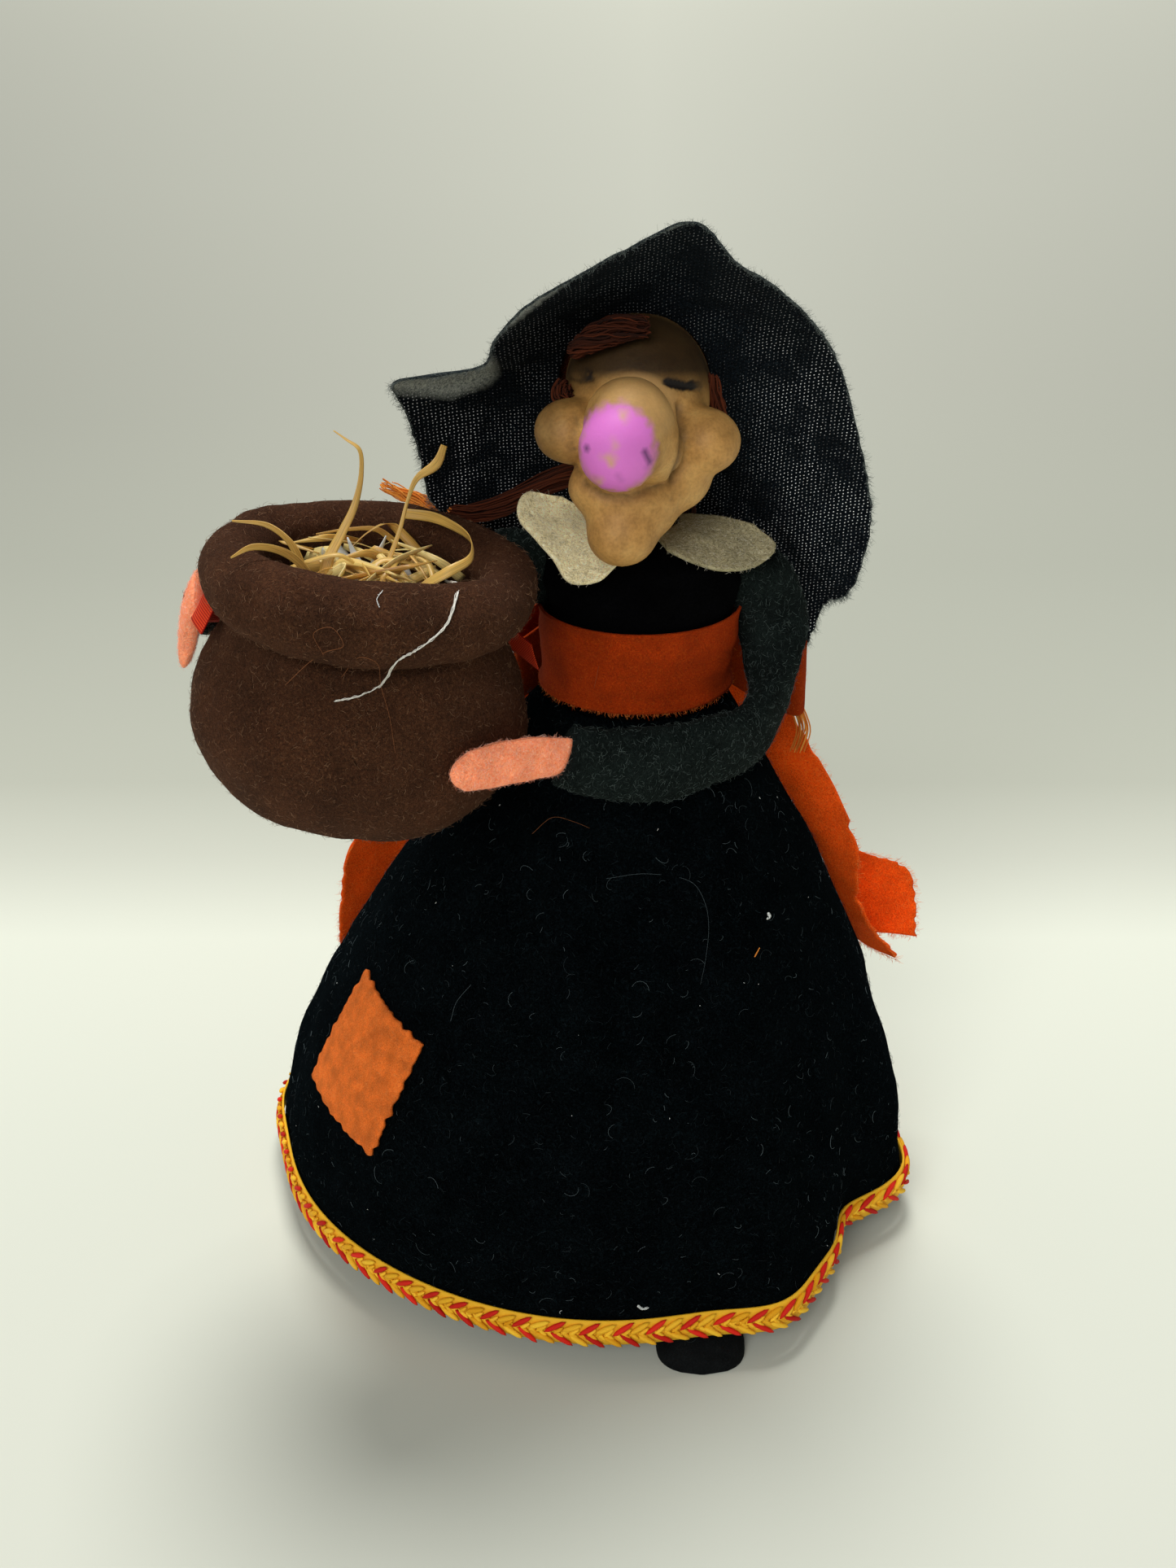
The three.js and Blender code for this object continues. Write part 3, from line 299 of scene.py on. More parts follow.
# Turned beech: straight fine grain along the peg and a dull sanded surface.
def makeBeech():
    material, tree = startMaterial("turned beech")
    coords = addNode(tree, "TexCoord", {}, "Object")
    stretch = addNode(tree, "Mapping", {"Scale": (1000 / 0.8, 1000 / 0.8, 1000 / 14), "Vector": coords})
    grain = addNode(tree, "TexNoise", {"Scale": 1.0, "Detail": 4, "Vector": stretch})
    base = addNode(tree, "ValToRGB", {"stops": [(0.3, "#9a7042"), (0.7, "#cba06c")], "Fac": grain})
    return finishMaterial(material, {"Roughness": 0.6, "Base Color": base})


# Drawn steel florist's wire: bright, with faint scratches along its length.
def makeWire():
    material, tree = startMaterial("drawn steel wire")
    coords = addNode(tree, "TexCoord", {}, "Object")
    marks = addNode(tree, "TexNoise", {"Scale": 1000 / 0.6, "Detail": 3, "Vector": coords})
    base = addNode(tree, "ValToRGB", {"stops": [(0.3, "#85898c"), (0.7, "#a9adb0")], "Fac": marks})
    return finishMaterial(material, {"Metallic": 1.0, "Roughness": 0.38, "Base Color": base})


hatWeave, vinyl, dryStraw, wovenRibbon = makeHatWeave(), makeVinyl(), makeStraw(), makeRibbon()
print("materials made")


# Geometry helpers, all in millimetres until a mesh is finished

def smoothPath(points, closed=False):
    points = np.array(points, float)
    count = len(points)

    def at(t):
        t = np.asarray(t, float)
        p = count * (t % 1) if closed else (count - 1) * np.clip(t, 0, 1)
        low = np.floor(p).astype(int)
        if closed:
            weight = (p - low)[..., None]
            p0, p1, p2, p3 = (points[(low + i) % count] for i in (-1, 0, 1, 2))
        else:
            low = np.minimum(low, count - 2)
            weight = (p - low)[..., None]
            padded = np.vstack([2 * points[0] - points[1], points, 2 * points[-1] - points[-2]])
            p0, p1, p2, p3 = (padded[low + i] for i in (0, 1, 2, 3))
        d0, d1, d2 = (np.maximum(np.sqrt(np.linalg.norm(b - a, axis=-1, keepdims=True)), 1e-3)
                      for a, b in ((p0, p1), (p1, p2), (p2, p3)))
        t1 = ((p1 - p0) / d0 - (p2 - p0) / (d0 + d1) + (p2 - p1) / d1) * d1
        t2 = ((p2 - p1) / d1 - (p3 - p1) / (d1 + d2) + (p3 - p2) / d2) * d1
        return (p1 + t1 * weight + (3 * (p2 - p1) - 2 * t1 - t2) * weight ** 2
                + (2 * (p1 - p2) + t1 + t2) * weight ** 3)
    return at


def traced(points, count):
    return smoothPath(points)(np.linspace(0, 1, count))


def unit(vectors):
    return vectors / np.maximum(np.linalg.norm(vectors, axis=-1, keepdims=True), 1e-9)


def stack(*columns):
    return np.stack(np.broadcast_arrays(*columns), axis=-1)


def ripple(points, size, seed=0.0):
    shift = Vector((seed, seed * 1.7, -seed))
    return np.array([noise.noise(Vector(p) / size + shift) for p in points])


# Points on circles round an upright or forward axis, for patterns that close on themselves
def ringPlaces(u, radius, height):
    return stack(np.cos(u * 2 * math.pi) * radius, np.sin(u * 2 * math.pi) * radius, height)


def photoAxes():
    pitch = math.radians(photo["pitch"])
    forward = np.array([0, math.cos(pitch), -math.sin(pitch)])
    up = np.array([0, math.sin(pitch), math.cos(pitch)])
    return np.array(photo["place"], float), forward, up


# Where points in mm stand in the photograph, in its pixels
def photoPlace(points):
    eye, forward, up = photoAxes()
    away = points - eye
    depth = away @ forward
    return (photo["middle"][0] + photo["focal"] * away[:, 0] / depth,
            photo["middle"][1] - photo["focal"] * (away @ up) / depth)


# The points of a piece that show at given pixels of the photograph, lifted towards the viewer
def showingAt(piece, pixels, lift=0.0):
    tree = BVHTree.FromObject(piece, bpy.context.evaluated_depsgraph_get())
    eye, forward, up = photoAxes()
    found = []
    for px, py in pixels:
        ray = forward + np.array([1.0, 0, 0]) * (px - photo["middle"][0]) / photo["focal"]
        ray = unit(ray + up * (photo["middle"][1] - py) / photo["focal"])
        hit, normal, _, _ = tree.ray_cast(Vector(eye * mm), Vector(ray))
        if hit is not None:
            found.append(np.array(hit) / mm + np.array(normal) * lift)
    return np.array(found)


def addObject(name, data):
    thing = bpy.data.objects.new(name, data)
    bpy.context.scene.collection.objects.link(thing)
    return thing


slots = {}  # each piece's slot, for the fibres that stand on it


def addPiece(name, mesh, body, materials, slotName, node=None):
    for material in materials:
        mesh.materials.append(material)
    mesh.shade_smooth()
    piece = addObject(name, mesh)
    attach(piece, body)
    if node:
        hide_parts(node)
    slots[name] = slotName
    return piece


def finishMesh(name, bm):
    mesh = bpy.data.meshes.new(name)
    bm.to_mesh(mesh)
    bm.free()
    return mesh


# A profile of radius and height turned round the upright axis. Its faces are made here one by one,
# because Blender's own spin gives them in another order on each run.
def turnedForm(profile, steps):
    bm = bmesh.new()
    turns = [2 * math.pi * step / steps for step in range(steps)]
    rings = [[bm.verts.new((radius * math.cos(turn), radius * math.sin(turn), height)) for turn in turns]
             for radius, height in profile]
    for ring, after in zip(rings, rings[1:]):
        for i in range(steps):
            bm.faces.new((ring[i - 1], ring[i], after[i], after[i - 1]))
    bmesh.ops.remove_doubles(bm, verts=bm.verts, dist=1e-4)
    bmesh.ops.recalc_face_normals(bm, faces=bm.faces)
    return bm


# A grid of cloth moved onto a surface: surfaceAt(u, v) gives points in mm for u across, v along.
# Its UVs are in metres of cloth, or in X and Z where no size is given.
def clothMesh(name, surfaceAt, grid, size=None, closed=False, caps=False):
    bm = bmesh.new()
    bm.loops.layers.uv.new("UVMap")
    bmesh.ops.create_grid(bm, x_segments=grid[0], y_segments=grid[1], size=0.5, calc_uvs=True)
    uvLayer = bm.loops.layers.uv.active
    flat = np.array([v.co[:2] for v in bm.verts])
    across, along = flat[:, 0] + 0.5, 0.5 - flat[:, 1]
    places = surfaceAt(across, along) * mm
    uvs = stack(across * size[0] * mm, along * size[1] * mm) if size else places[:, [0, 2]]
    for face in bm.faces:
        for loop in face.loops:
            loop[uvLayer].uv = uvs[loop.vert.index]
    for vertex, place in zip(bm.verts, places):
        vertex.co = place
    if closed:
        bmesh.ops.remove_doubles(bm, verts=bm.verts, dist=1e-6)
    if caps:
        bmesh.ops.holes_fill(bm, edges=bm.edges, sides=0)
    return finishMesh(name, bm)


def thicken(piece, thickness, offset=-1.0, backMaterial=0):
    wall = piece.modifiers.new("wall", "SOLIDIFY")
    wall.thickness = thickness * mm
    wall.offset = offset
    wall.use_even_offset = False
    wall.material_offset = backMaterial
    wall.material_offset_rim = backMaterial


# Cloth that stands for a node: its grid in columns and rows, its size in mm, and its wall as
# thickness in mm and offset. A stuffed piece is a closed form with a fill instead of a wall.
def addCloth(name, surfaceAt, grid, size, materials, slotName, node, body="figure", wall=None,
             closed=False, caps=False):
    mesh = clothMesh(name, surfaceAt, grid, size, closed or caps, caps)
    piece = addPiece(name, mesh, body, materials, slotName, node)
    if wall:
        thicken(piece, *wall)
    return piece


# Strands as tapered tubes along lists of points in mm, each with its own thickness
def addStrands(name, paths, thickness, body, material, slotName, taper, node=None):
    data = bpy.data.curves.new(name, "CURVE")
    data.dimensions = "3D"
    data.bevel_depth = 0.5 * mm
    data.bevel_resolution = 0
    data.use_fill_caps = True
    for path, width in zip(paths, np.broadcast_to(thickness, len(paths))):
        spline = data.splines.new("POLY")
        spline.points.add(len(path) - 1)
        points = np.ones((len(path), 4))
        points[:, :3] = np.asarray(path) * mm
        spline.points.foreach_set("co", points.ravel())
        share = np.linspace(0, 1, len(path))
        spline.points.foreach_set("radius", width * (1 - (1 - taper) * share ** 2))
    shape = bpy.data.objects.new(name + "_line", data)
    mesh = bpy.data.meshes.new_from_object(shape)
    mesh.name = name
    bpy.data.objects.remove(shape)
    bpy.data.curves.remove(data)
    mesh.materials.clear()
    return addPiece(name, mesh, body, [material], slotName, node)


def spots(piece, count, rng, weight=None):
    shape = piece.evaluated_get(bpy.context.evaluated_depsgraph_get())
    mesh = shape.to_mesh()
    mesh.calc_loop_triangles()
    corners = np.zeros(len(mesh.loop_triangles) * 3, int)
    mesh.loop_triangles.foreach_get("vertices", corners)
    places = np.zeros(len(mesh.vertices) * 3)
    mesh.vertices.foreach_get("co", places)
    shape.to_mesh_clear()
    triangles = places.reshape(-1, 3)[corners.reshape(-1, 3)] / mm
    cross = np.cross(triangles[:, 1] - triangles[:, 0], triangles[:, 2] - triangles[:, 0])
    share = np.linalg.norm(cross, axis=1)
    if weight is not None:
        share = share * weight(triangles.mean(axis=1), unit(cross))
    pick = rng.choice(len(triangles), count, p=share / share.sum())
    a, b = rng.random((2, count, 1))
    flip = a + b > 1
    a, b = np.where(flip, 1 - a, a), np.where(flip, 1 - b, b)
    chosen = triangles[pick]
    roots = chosen[:, 0] + a * (chosen[:, 1] - chosen[:, 0]) + b * (chosen[:, 2] - chosen[:, 0])
    return roots, unit(cross[pick])


# Fibres on a piece have its body, its slot and the first words of its name.
def addFibres(piece, ending, paths, thickness, material, taper=0.3):
    name = piece.name.rpartition("_")[0] + ending
    addStrands(name, paths, thickness, body_of(piece)[0], material, slots[piece.name], taper)


# Nap is the short loose fibres that stand or lie on a cloth and soften its outline.
def addNap(piece, material, seed, count, length, thickness=0.07, lift=(0.2, 1.0), weight=None):
    rng = np.random.default_rng(seed)
    roots, normals = spots(piece, count, rng, weight)
    away = rng.normal(size=roots.shape)
    along = unit(away - normals * np.sum(away * normals, axis=1, keepdims=True))
    rise = rng.uniform(*lift, (len(roots), 1))
    lengths = length * rng.uniform(0.4, 1.3, (len(roots), 1))
    turn = unit(np.cross(normals, along)) * rng.uniform(-1, 1, (len(roots), 1))
    first = unit(along + normals * rise)
    second = unit(along * 0.9 + normals * rise * 0.4 + turn)
    third = unit(along * 0.4 + normals * rise * rng.uniform(-0.5, 0.6, (len(roots), 1)) + turn * 1.6)
    start = roots - normals * 0.1
    middle = start + first * lengths * 0.4
    later = middle + second * lengths * 0.35
    end = later + third * lengths * 0.3
    addFibres(piece, "_nap", np.stack([start, middle, later, end], axis=1), thickness, material)


def seenFirst(points, normals):
    eye, _, _ = photoAxes()
    facing = np.sum(unit(eye - points) * normals, axis=1)
    return np.where(facing > -0.25, 1.0, 0.3)


# Skirt: a bell of flocked felt with deep folds at the viewer's right
skirtShape = {"top": 143, "hem": 8, "waist": 22, "hemRadius": 79.5, "lean": 11, "wall": 1.2, "braid": 7 / 135,
              "folds": [[33, 6, 9], [60, -6.5, 8], [78, 4.5, 9], [105, 3, 10], [128, -4, 11], [152, 5, 12],
                        [177, -4, 11], [206, 5, 12], [232, -4, 10], [257, 6, 13], [325, -4.2, 38]]}


def skirtAt(angle, share, grow=0.0):
    fold = sum(depth * np.exp(-((((angle - middle + 540) % 360 - 180) / spread) ** 2))
               for middle, depth, spread in skirtShape["folds"])
    waist = skirtShape["waist"]
    radius = waist + (skirtShape["hemRadius"] - waist) * np.sin(share * math.pi / 2)
    radius = radius + fold * share ** 2.2 + grow
    height = skirtShape["top"] - (skirtShape["top"] - skirtShape["hem"]) * share
    lean = skirtShape["lean"] * np.maximum(0, (height - skirtShape["hem"]) / 135) ** 1.4
    turn = np.radians(angle)
    return stack(lean + radius * np.sin(turn), -radius * np.cos(turn), height)


def skirtSurface(u, v):
    smooth = skirtAt(u * 360, v)
    turn = u * 2 * math.pi
    pleats = ripple(stack(np.sin(turn) * 30, np.cos(turn) * 30, v * 26), 7.0, 2.0)
    dents = ripple(smooth, 13.0, 5.0) * 0.8 + ripple(smooth, 5.0, 8.0) * 0.25
    held = np.clip(v * 6, 0, 1) * np.clip((1 - v) * 9, 0.15, 1)
    grow = (pleats + dents) * held - 0.3
    return smooth + (skirtAt(u * 360, v, 1.0) - smooth) * grow[:, None]


skirt = addCloth("skirt_cloth", skirtSurface, (260, 96), (520, 150), [skirtFlock], "black_felt", "skirt",
                 wall=(skirtShape["wall"],), closed=True)
addNap(skirt, skirtFibre, seed=11, count=6500, length=1.9, thickness=0.075, lift=(0.1, 0.9), weight=seenFirst)
print("skirt made")


# Lint: fine pale hairs that lie curled on the flock
def addLint(ending, material, seed, count, radius, rise, thickness):
    rng = np.random.default_rng(seed)
    roots, normals = spots(skirt, count, rng, seenFirst)
    along = unit(np.cross(normals, rng.normal(size=roots.shape)))
    side = np.cross(normals, along)
    curl = radius * rng.uniform(0.3, 1.8, (len(roots), 1, 1))
    swing = np.linspace(0, 1, 8)[None, :, None] * rng.uniform(0.3, 2.6, (len(roots), 1, 1))
    lift = 0.2 + rise * np.sin(swing * 0.7) * rng.random((len(roots), 1, 1))
    paths = (roots[:, None] + along[:, None] * np.sin(swing) * curl
             + side[:, None] * (1 - np.cos(swing)) * curl * rng.uniform(0.5, 1, (len(roots), 1, 1))
             + normals[:, None] * lift)
    addFibres(skirt, ending, paths, thickness, material, 0.7)


addLint("_lint", lintDust, seed=13, count=1500, radius=1.5, rise=0.5, thickness=0.06)
addLint("_specks", whiteFibre, seed=15, count=70, radius=0.3, rise=0.2, thickness=0.14)


# Hem braid: slanted red and yellow yarns along both edges of a thin tape, and yellow chevrons between
braid = {"pitch": 8.0, "width": 7.0, "lift": 0.3}


def braidSurface(u, v):
    return skirtAt(u * 360, 1 - skirtShape["braid"] * (1 - v), braid["lift"])


tape = addCloth("hem_tape", braidSurface, (260, 4), (520, braid["width"]), [braidYellow], "braid",
                "hem_braid", wall=(0.5, 1.0), closed=True)


def addBraid():
    fine = np.linspace(0, 1, 2081)[:-1]
    line = skirtAt(fine * 360, 1 - skirtShape["braid"] / 2, braid["lift"] + 0.8)
    steps = np.linalg.norm(np.roll(line, -1, axis=0) - line, axis=1)
    length = steps.sum()
    travelled = np.concatenate([[0], np.cumsum(steps)])[:-1]
    repeats = round(length / braid["pitch"])
    # Each yarn: place along the pitch and up the tape, half length, half width, slope, red or yellow
    yarns = [(0.0, 5.2, 3.2, 0.66, 34, 1), (0.5, 5.3, 2.8, 0.7, 30, 0), (0.2, 1.7, 3.2, 0.66, -34, 1),
             (0.7, 1.6, 2.8, 0.7, -30, 0)]
    yarns += [(along, height, 1.7, 0.5, slope, 0) for height, slope in ((3.9, 42), (2.9, -42))
              for along in (0.1, 0.35, 0.6, 0.85)]
    rng = np.random.default_rng(5)
    meshes = [bmesh.new(), bmesh.new()]
    halfCircle = [(math.sin(turn), math.cos(turn)) for turn in np.linspace(0, math.pi, 7)]
    yarn = finishMesh("one_yarn", turnedForm(halfCircle, 8))
    for repeat in range(repeats):
        for along, height, half, thin, slope, red in yarns:
            want = (repeat + along + rng.uniform(-0.03, 0.03)) / repeats * length
            i = np.searchsorted(travelled, want % length) % len(fine)
            forward = unit(line[(i + 4) % len(fine)] - line[i - 4])
            rise = unit(skirtAt(fine[i] * 360, 0.95) - skirtAt(fine[i] * 360, 1.0))
            outward = np.cross(forward, rise)
            tilt = math.radians(slope + rng.uniform(-5, 5))
            lengthwise = forward * math.cos(tilt) + rise * math.sin(tilt)
            crosswise = np.cross(outward, lengthwise)
            middle = line[i] + rise * (height - braid["width"] / 2) + outward * (0.4 if thin > 0.6 else 0.1)
            place = Matrix([[*(axis * mm)] for axis in (lengthwise * half, crosswise * thin, outward * thin)])
            matrix = Matrix.Translation(Vector(middle * mm)) @ place.transposed().to_4x4()
            yarn.transform(matrix)
            meshes[red].from_mesh(yarn)
            yarn.transform(matrix.inverted())
    bpy.data.meshes.remove(yarn)
    for bm, name, material in zip(meshes, ("braid_yellow", "braid_red"), (braidYellow, braidRed)):
        bmesh.ops.recalc_face_normals(bm, faces=bm.faces)
        yield addPiece(name, finishMesh(name, bm), "figure", [material], "braid")


braidYarns = list(addBraid())
print("hem braid made")


# Patch: a leaning kite of suede with a notched edge, its corners as angle and share down the skirt
patchShape = {"corners": [[-68.4, 0.49], [-41.2, 0.527], [-46.2, 0.747], [-72.5, 0.722]], "lift": 0.7,
              "wall": 0.8}


def patchSurface(u, v):
    corners = np.array(patchShape["corners"])
    rough = ripple(stack(u * 14, v * 14, 0), 1.0, 3.0) * 0.035
    edge = np.clip(np.abs(stack(u, v) - 0.5) * 2, 0, 1) ** 6
    wide = u + (u - 0.5) * rough * 2 * edge[:, 0]
    long = v + (v - 0.5) * rough * 2 * edge[:, 1]
    top = corners[0] + (corners[1] - corners[0]) * wide[:, None]
    bottom = corners[3] + (corners[2] - corners[3]) * wide[:, None]
    at = top + (bottom - top) * long[:, None]
    return skirtAt(at[:, 0], at[:, 1], patchShape["lift"])


patch = addCloth("suede_patch", patchSurface, (48, 48), (30, 34), [patchSuede], "patch_suede", "skirt_patch",
                 wall=(patchShape["wall"], 1.0))
print("patch made")


# Shoes: a rounded upper over a flat sole, as far back as the base board
shoes = {"width": 22.5, "length": 30, "height": 15, "toe": 7, "board": 60.35,
         "sides": {"shoe_left": (27, 80), "shoe_right": (-27, 61)}}


def shoeSurface(side, toe):
    def at(u, v):
        turn = u * 2 * math.pi
        rough = shoes["width"] / 2 * np.cos(turn)
        back = toe - np.sqrt(shoes["board"] ** 2 - (side + 0.9 * rough) ** 2)
        share = v * back / shoes["length"]
        swell = np.sqrt(np.maximum(0.002, 1 - (2 * share - 1) ** 4))
        half = shoes["width"] / 2 * swell * (0.86 + 0.14 * (1 - share))
        step = np.clip((share - 0.3) / 0.5, 0, 1)
        rise = swell * (shoes["toe"] + (shoes["height"] - shoes["toe"]) * step * step * (3 - 2 * step))
        up = np.sin(turn)
        height = np.where(up > 0, rise * np.maximum(up, 0) ** 0.8, 0.0)
        return stack(side + half * np.cos(turn), -toe + share * shoes["length"], height)
    return at


for node, (side, toe) in shoes["sides"].items():
    addCloth(node + "_felt", shoeSurface(side, toe), (56, 26), (60, 30), [shoeFelt], "black_felt", node,
             caps=True)
print("shoes made")


# Bodice: stuffed black velvet. Shares of its height, half width and half depth
bodiceShape = {"waist": 140, "height": 45, "chest": 24.3, "depth": 20.5, "middle": 11, "back": -3,
               "profile": [[0, 0.815, 0.93], [0.09, 0.86, 0.98], [0.33, 0.9, 1], [0.56, 0.925, 1.01],
                           [0.71, 1, 0.97], [0.84, 0.93, 0.83], [0.93, 0.68, 0.63], [0.985, 0.44, 0.46],
                           [1, 0.33, 0.39]]}


def bodiceAt(share, around, grow=0.0):
    profile = np.array(bodiceShape["profile"])
    half = np.interp(share, profile[:, 0], profile[:, 1]) * bodiceShape["chest"] + grow
    depth = np.interp(share, profile[:, 0], profile[:, 2]) * bodiceShape["depth"] + grow
    turn = around * 2 * math.pi
    return stack(bodiceShape["middle"] + 1.6 * np.sin(share * math.pi / 2) + half * np.sin(turn),
                 bodiceShape["back"] * share ** 3 - depth * np.cos(turn),
                 bodiceShape["waist"] + bodiceShape["height"] * share)


def bodiceSurface(u, v):
    smooth = bodiceAt(1 - v, u)
    grow = ripple(smooth, 9.0, 4.0) * 0.5 - 0.4
    return bodiceAt(1 - v, u, grow)


addCloth("bodice_velvet", bodiceSurface, (96, 60), (140, 45), [bodiceVelvet], "black_velvet", "bodice",
         caps=True)


# Sash: a velvet strip drawn round the bodice, creased, with raw edges
sash = {"below": 5, "height": 20, "lift": 0.45, "wall": 0.7}


def sashSurface(u, v):
    share = (sash["below"] + sash["height"] * (1 - v)) / bodiceShape["height"]
    smooth = bodiceAt(share, u)
    x, y, z = smooth.T
    fold = np.abs(ripple(stack(x * 0.45, y * 0.45, z * 1.6 + x * 0.25), 9.0, 7.0)) * 0.8
    fold = fold + ripple(smooth, 4.0, 2.0) * 0.15
    flare = 1.1 * np.clip((v - 0.8) * 5, 0, 1) ** 2 + 0.5 * np.clip((0.15 - v) * 6, 0, 1) ** 2
    return bodiceAt(share, u, sash["lift"] + np.clip(fold, 0, 1.2) * np.clip(v * 8, 0.3, 1) + flare)


sashPiece = addCloth("sash_velvet", sashSurface, (220, 30), (136, 20), [shadedVelvet], "orange_velvet",
                     "sash_band", wall=(sash["wall"], 1.0), closed=True)
print("sash made")


# A line through stations, which hold a point and two measures, and how the measures change along it
def alongStations(stations):
    places, firsts, seconds = zip(*stations)
    shares = np.linspace(0, 1, len(stations))
    return smoothPath(places), lambda v: np.interp(v, shares, firsts), lambda v: np.interp(v, shares, seconds)


def directionAt(line, v, step):
    return unit(line(np.clip(v + step, 0, 1)) - line(np.clip(v - step, 0, 1)))


# Places beside a line: across is measured in the way that its section is widest, through square to it
def besideLine(places, direction, wide, across, through):
    thinWay = unit(np.cross(direction, np.array(wide, float)))
    wideWay = unit(np.cross(thinWay, direction))
    return places + wideWay * across[:, None] + thinWay * through[:, None]


# A padded limb: stations hold a point, a half width and a half thickness. Rings stand square to the
# smooth line through the points.
def limbSurface(stations, wide, firstTangent, wrinkle):
    line, halfAt, thinAt = alongStations(stations)

    def at(u, v):
        tangent = directionAt(line, v, 0.002)
        if firstTangent is not None:
            share = np.clip(v * 12, 0, 1)[:, None]
            tangent = unit(np.array(firstTangent) * (1 - share) + tangent * share)
        turn = -u * 2 * math.pi
        grow = wrinkle(u, v, line(v))
        return besideLine(line(v), tangent, wide, (halfAt(v) + grow) * np.cos(turn),
                          (thinAt(v) + grow) * np.sin(turn))
    return at


# A strip with a curved cross section: each row holds a near edge, a bend and a far edge.
def bandSurface(rows, anchor=(0, 0, 0)):
    rows = np.array(rows, float) + np.array(anchor)
    near, bend, far = (smoothPath(rows[:, track]) for track in range(3))

    def at(u, v):
        u = u[:, None]
        return near(v) * (1 - u) ** 2 + bend(v) * 2 * u * (1 - u) + far(v) * u ** 2
    return at


def creased(surface, size, depth, seed, edge=0.0):
    def at(u, v):
        if edge:
            ragged = ripple(stack(v * 40, u * 3, 0), 1.3, seed + 9) * edge
            near, far = np.clip(1 - u * 8, 0, 1), np.clip(1 - (1 - u) * 8, 0, 1)
            u = np.clip(u + ragged * np.where(u < 0.5, near, -far), 0, 1)
        step = 0.004
        smooth = surface(u, v)
        across = surface(np.clip(u + step, 0, 1), v) - surface(np.clip(u - step, 0, 1), v)
        along = surface(u, np.clip(v + step, 0, 1)) - surface(u, np.clip(v - step, 0, 1))
        normal = unit(np.cross(along, across))
        return smooth + normal * (ripple(smooth, size, seed) * depth)[:, None]
    return at


# Bow behind the waist: a knot, two loops and the two tails that hang round the skirt
waistBack = bodiceAt(np.array([0.2]), np.array([0.5]), 1.0)[0]
bow = {
    "knot": [[[-5, 3.6, 0.5], 3.4, 2.2], [[0, 4, 0], 6, 3.2], [[5, 3.6, -0.5], 3.4, 2.2]],
    "track": [[5.8, 3.1, 0.5], [16, 6, 0.5], [25, 4.5, -4], [30, -1, -9], [29, -3.6, -10], [22, 0.4, -7],
              [14, 2.4, -3], [5.9, 1.6, -1]],
    "halfWidth": [3.2, 6.5, 8.2, 8, 7.8, 7.8, 6.5, 3.2],
    # How much each loop is stretched sideways and in height, moved forward at its end and lowered, and
    # its creases' seed
    "loops": {"bow_loop_left": (-1.0, 1.0, 0, 0, 2.0), "bow_loop_right": (1.4, 1.12, 2.2, 2.5, 4.0)},
    "tails": {
        "sash_tail_left": [
            [[-0.8, 3.9, -6.5], [-2.8, 3.9, -6.2], [-5, 3.6, -5.4]],
            [[-11, 10, -18], [-16, 9.5, -14], [-21, 8, -10]],
            [[-32, 21, -41], [-38, 19, -37], [-44, 14, -33]],
            [[-51, 29, -70], [-60, 25.5, -69], [-74, 13, -67]],
            [[-55, 34, -86], [-65, 29.5, -88], [-79.5, 15, -90]],
            [[-58, 38, -101], [-68, 33, -103], [-80.5, 18, -106]]],
        "sash_tail_right": [
            [[0.8, 3.9, -6.3], [2.8, 3.9, -6], [5, 3.6, -5.2]],
            [[29, 8, -12], [22, 9.5, -18], [17, 11, -24]],
            [[47, 1.5, -36], [35, 3.5, -44], [36, 9.5, -50]],
            [[57, -8.5, -55], [39, 4, -63], [58, 8, -66]],
            [[59.5, -9.5, -75], [45, 13, -82], [74.3, 8, -73.3]],
            [[70.5, -8.5, -91.5], [47, 19, -95], [76.5, -1, -88.5]]],
    },
}
knotStations = [(waistBack + np.array(place), half, thin) for place, half, thin in bow["knot"]]
knotSurface = limbSurface(knotStations, (0, 0, 1), None, lambda u, v, middle: 0.5 * np.cos(v * 40) - 0.4)
addCloth("bow_knot_velvet", knotSurface, (40, 30), (30, 12), [shadedVelvet], "orange_velvet", "bow_knot",
         caps=True)
loops = []
for node, (stretch, tall, forward, drop, seed) in bow["loops"].items():
    rows = [[[x * stretch, y + 0.6 * (edge == 0) - forward * (x >= 20), z - edge * half * tall - drop]
             for edge in (-1, 0, 1)] for (x, y, z), half in zip(bow["track"], bow["halfWidth"])]
    surface = creased(bandSurface(rows, waistBack), 7.0, 0.35, seed)
    loops.append(addCloth(node + "_velvet", surface, (24, 90), (15, 78), [shadedVelvet], "orange_velvet", node,
                          wall=(0.7, 1.0)))
    addNap(loops[-1], sashFibre, seed=21, count=350, length=1.2)


# Fuzz along the raw edges of a band: fibres that stand off the edge
def edgeFuzz(piece, surfaceAt, material, seed, count, length, thickness, edges=("end",)):
    rng = np.random.default_rng(seed)
    paths = []
    each = count // len(edges)
    for edge in edges:
        run = rng.random(each)
        if edge == "end":
            u, v, du, dv = run, np.ones(each), 0.0, -0.02
        else:
            u, v, du, dv = np.full(each, float(edge == "far")), run, (0.04 if edge == "near" else -0.04), 0.0
        root = surfaceAt(u, v)
        out = unit(root - surfaceAt(np.clip(u + du, 0, 1), np.clip(v + dv, 0, 1)))
        drift = rng.normal(size=(each, 3)) * 0.5
        lengths = length * rng.uniform(0.3, 1.3, (each, 1))
        middle = root + unit(out + drift) * lengths * 0.5
        end = middle + unit(out * 0.5 + drift + rng.normal(size=(each, 3)) * 0.6) * lengths * 0.5
        paths.extend(np.stack([root - out * 0.3, middle, end], axis=1))
    addFibres(piece, "_fuzz", paths, thickness, material)


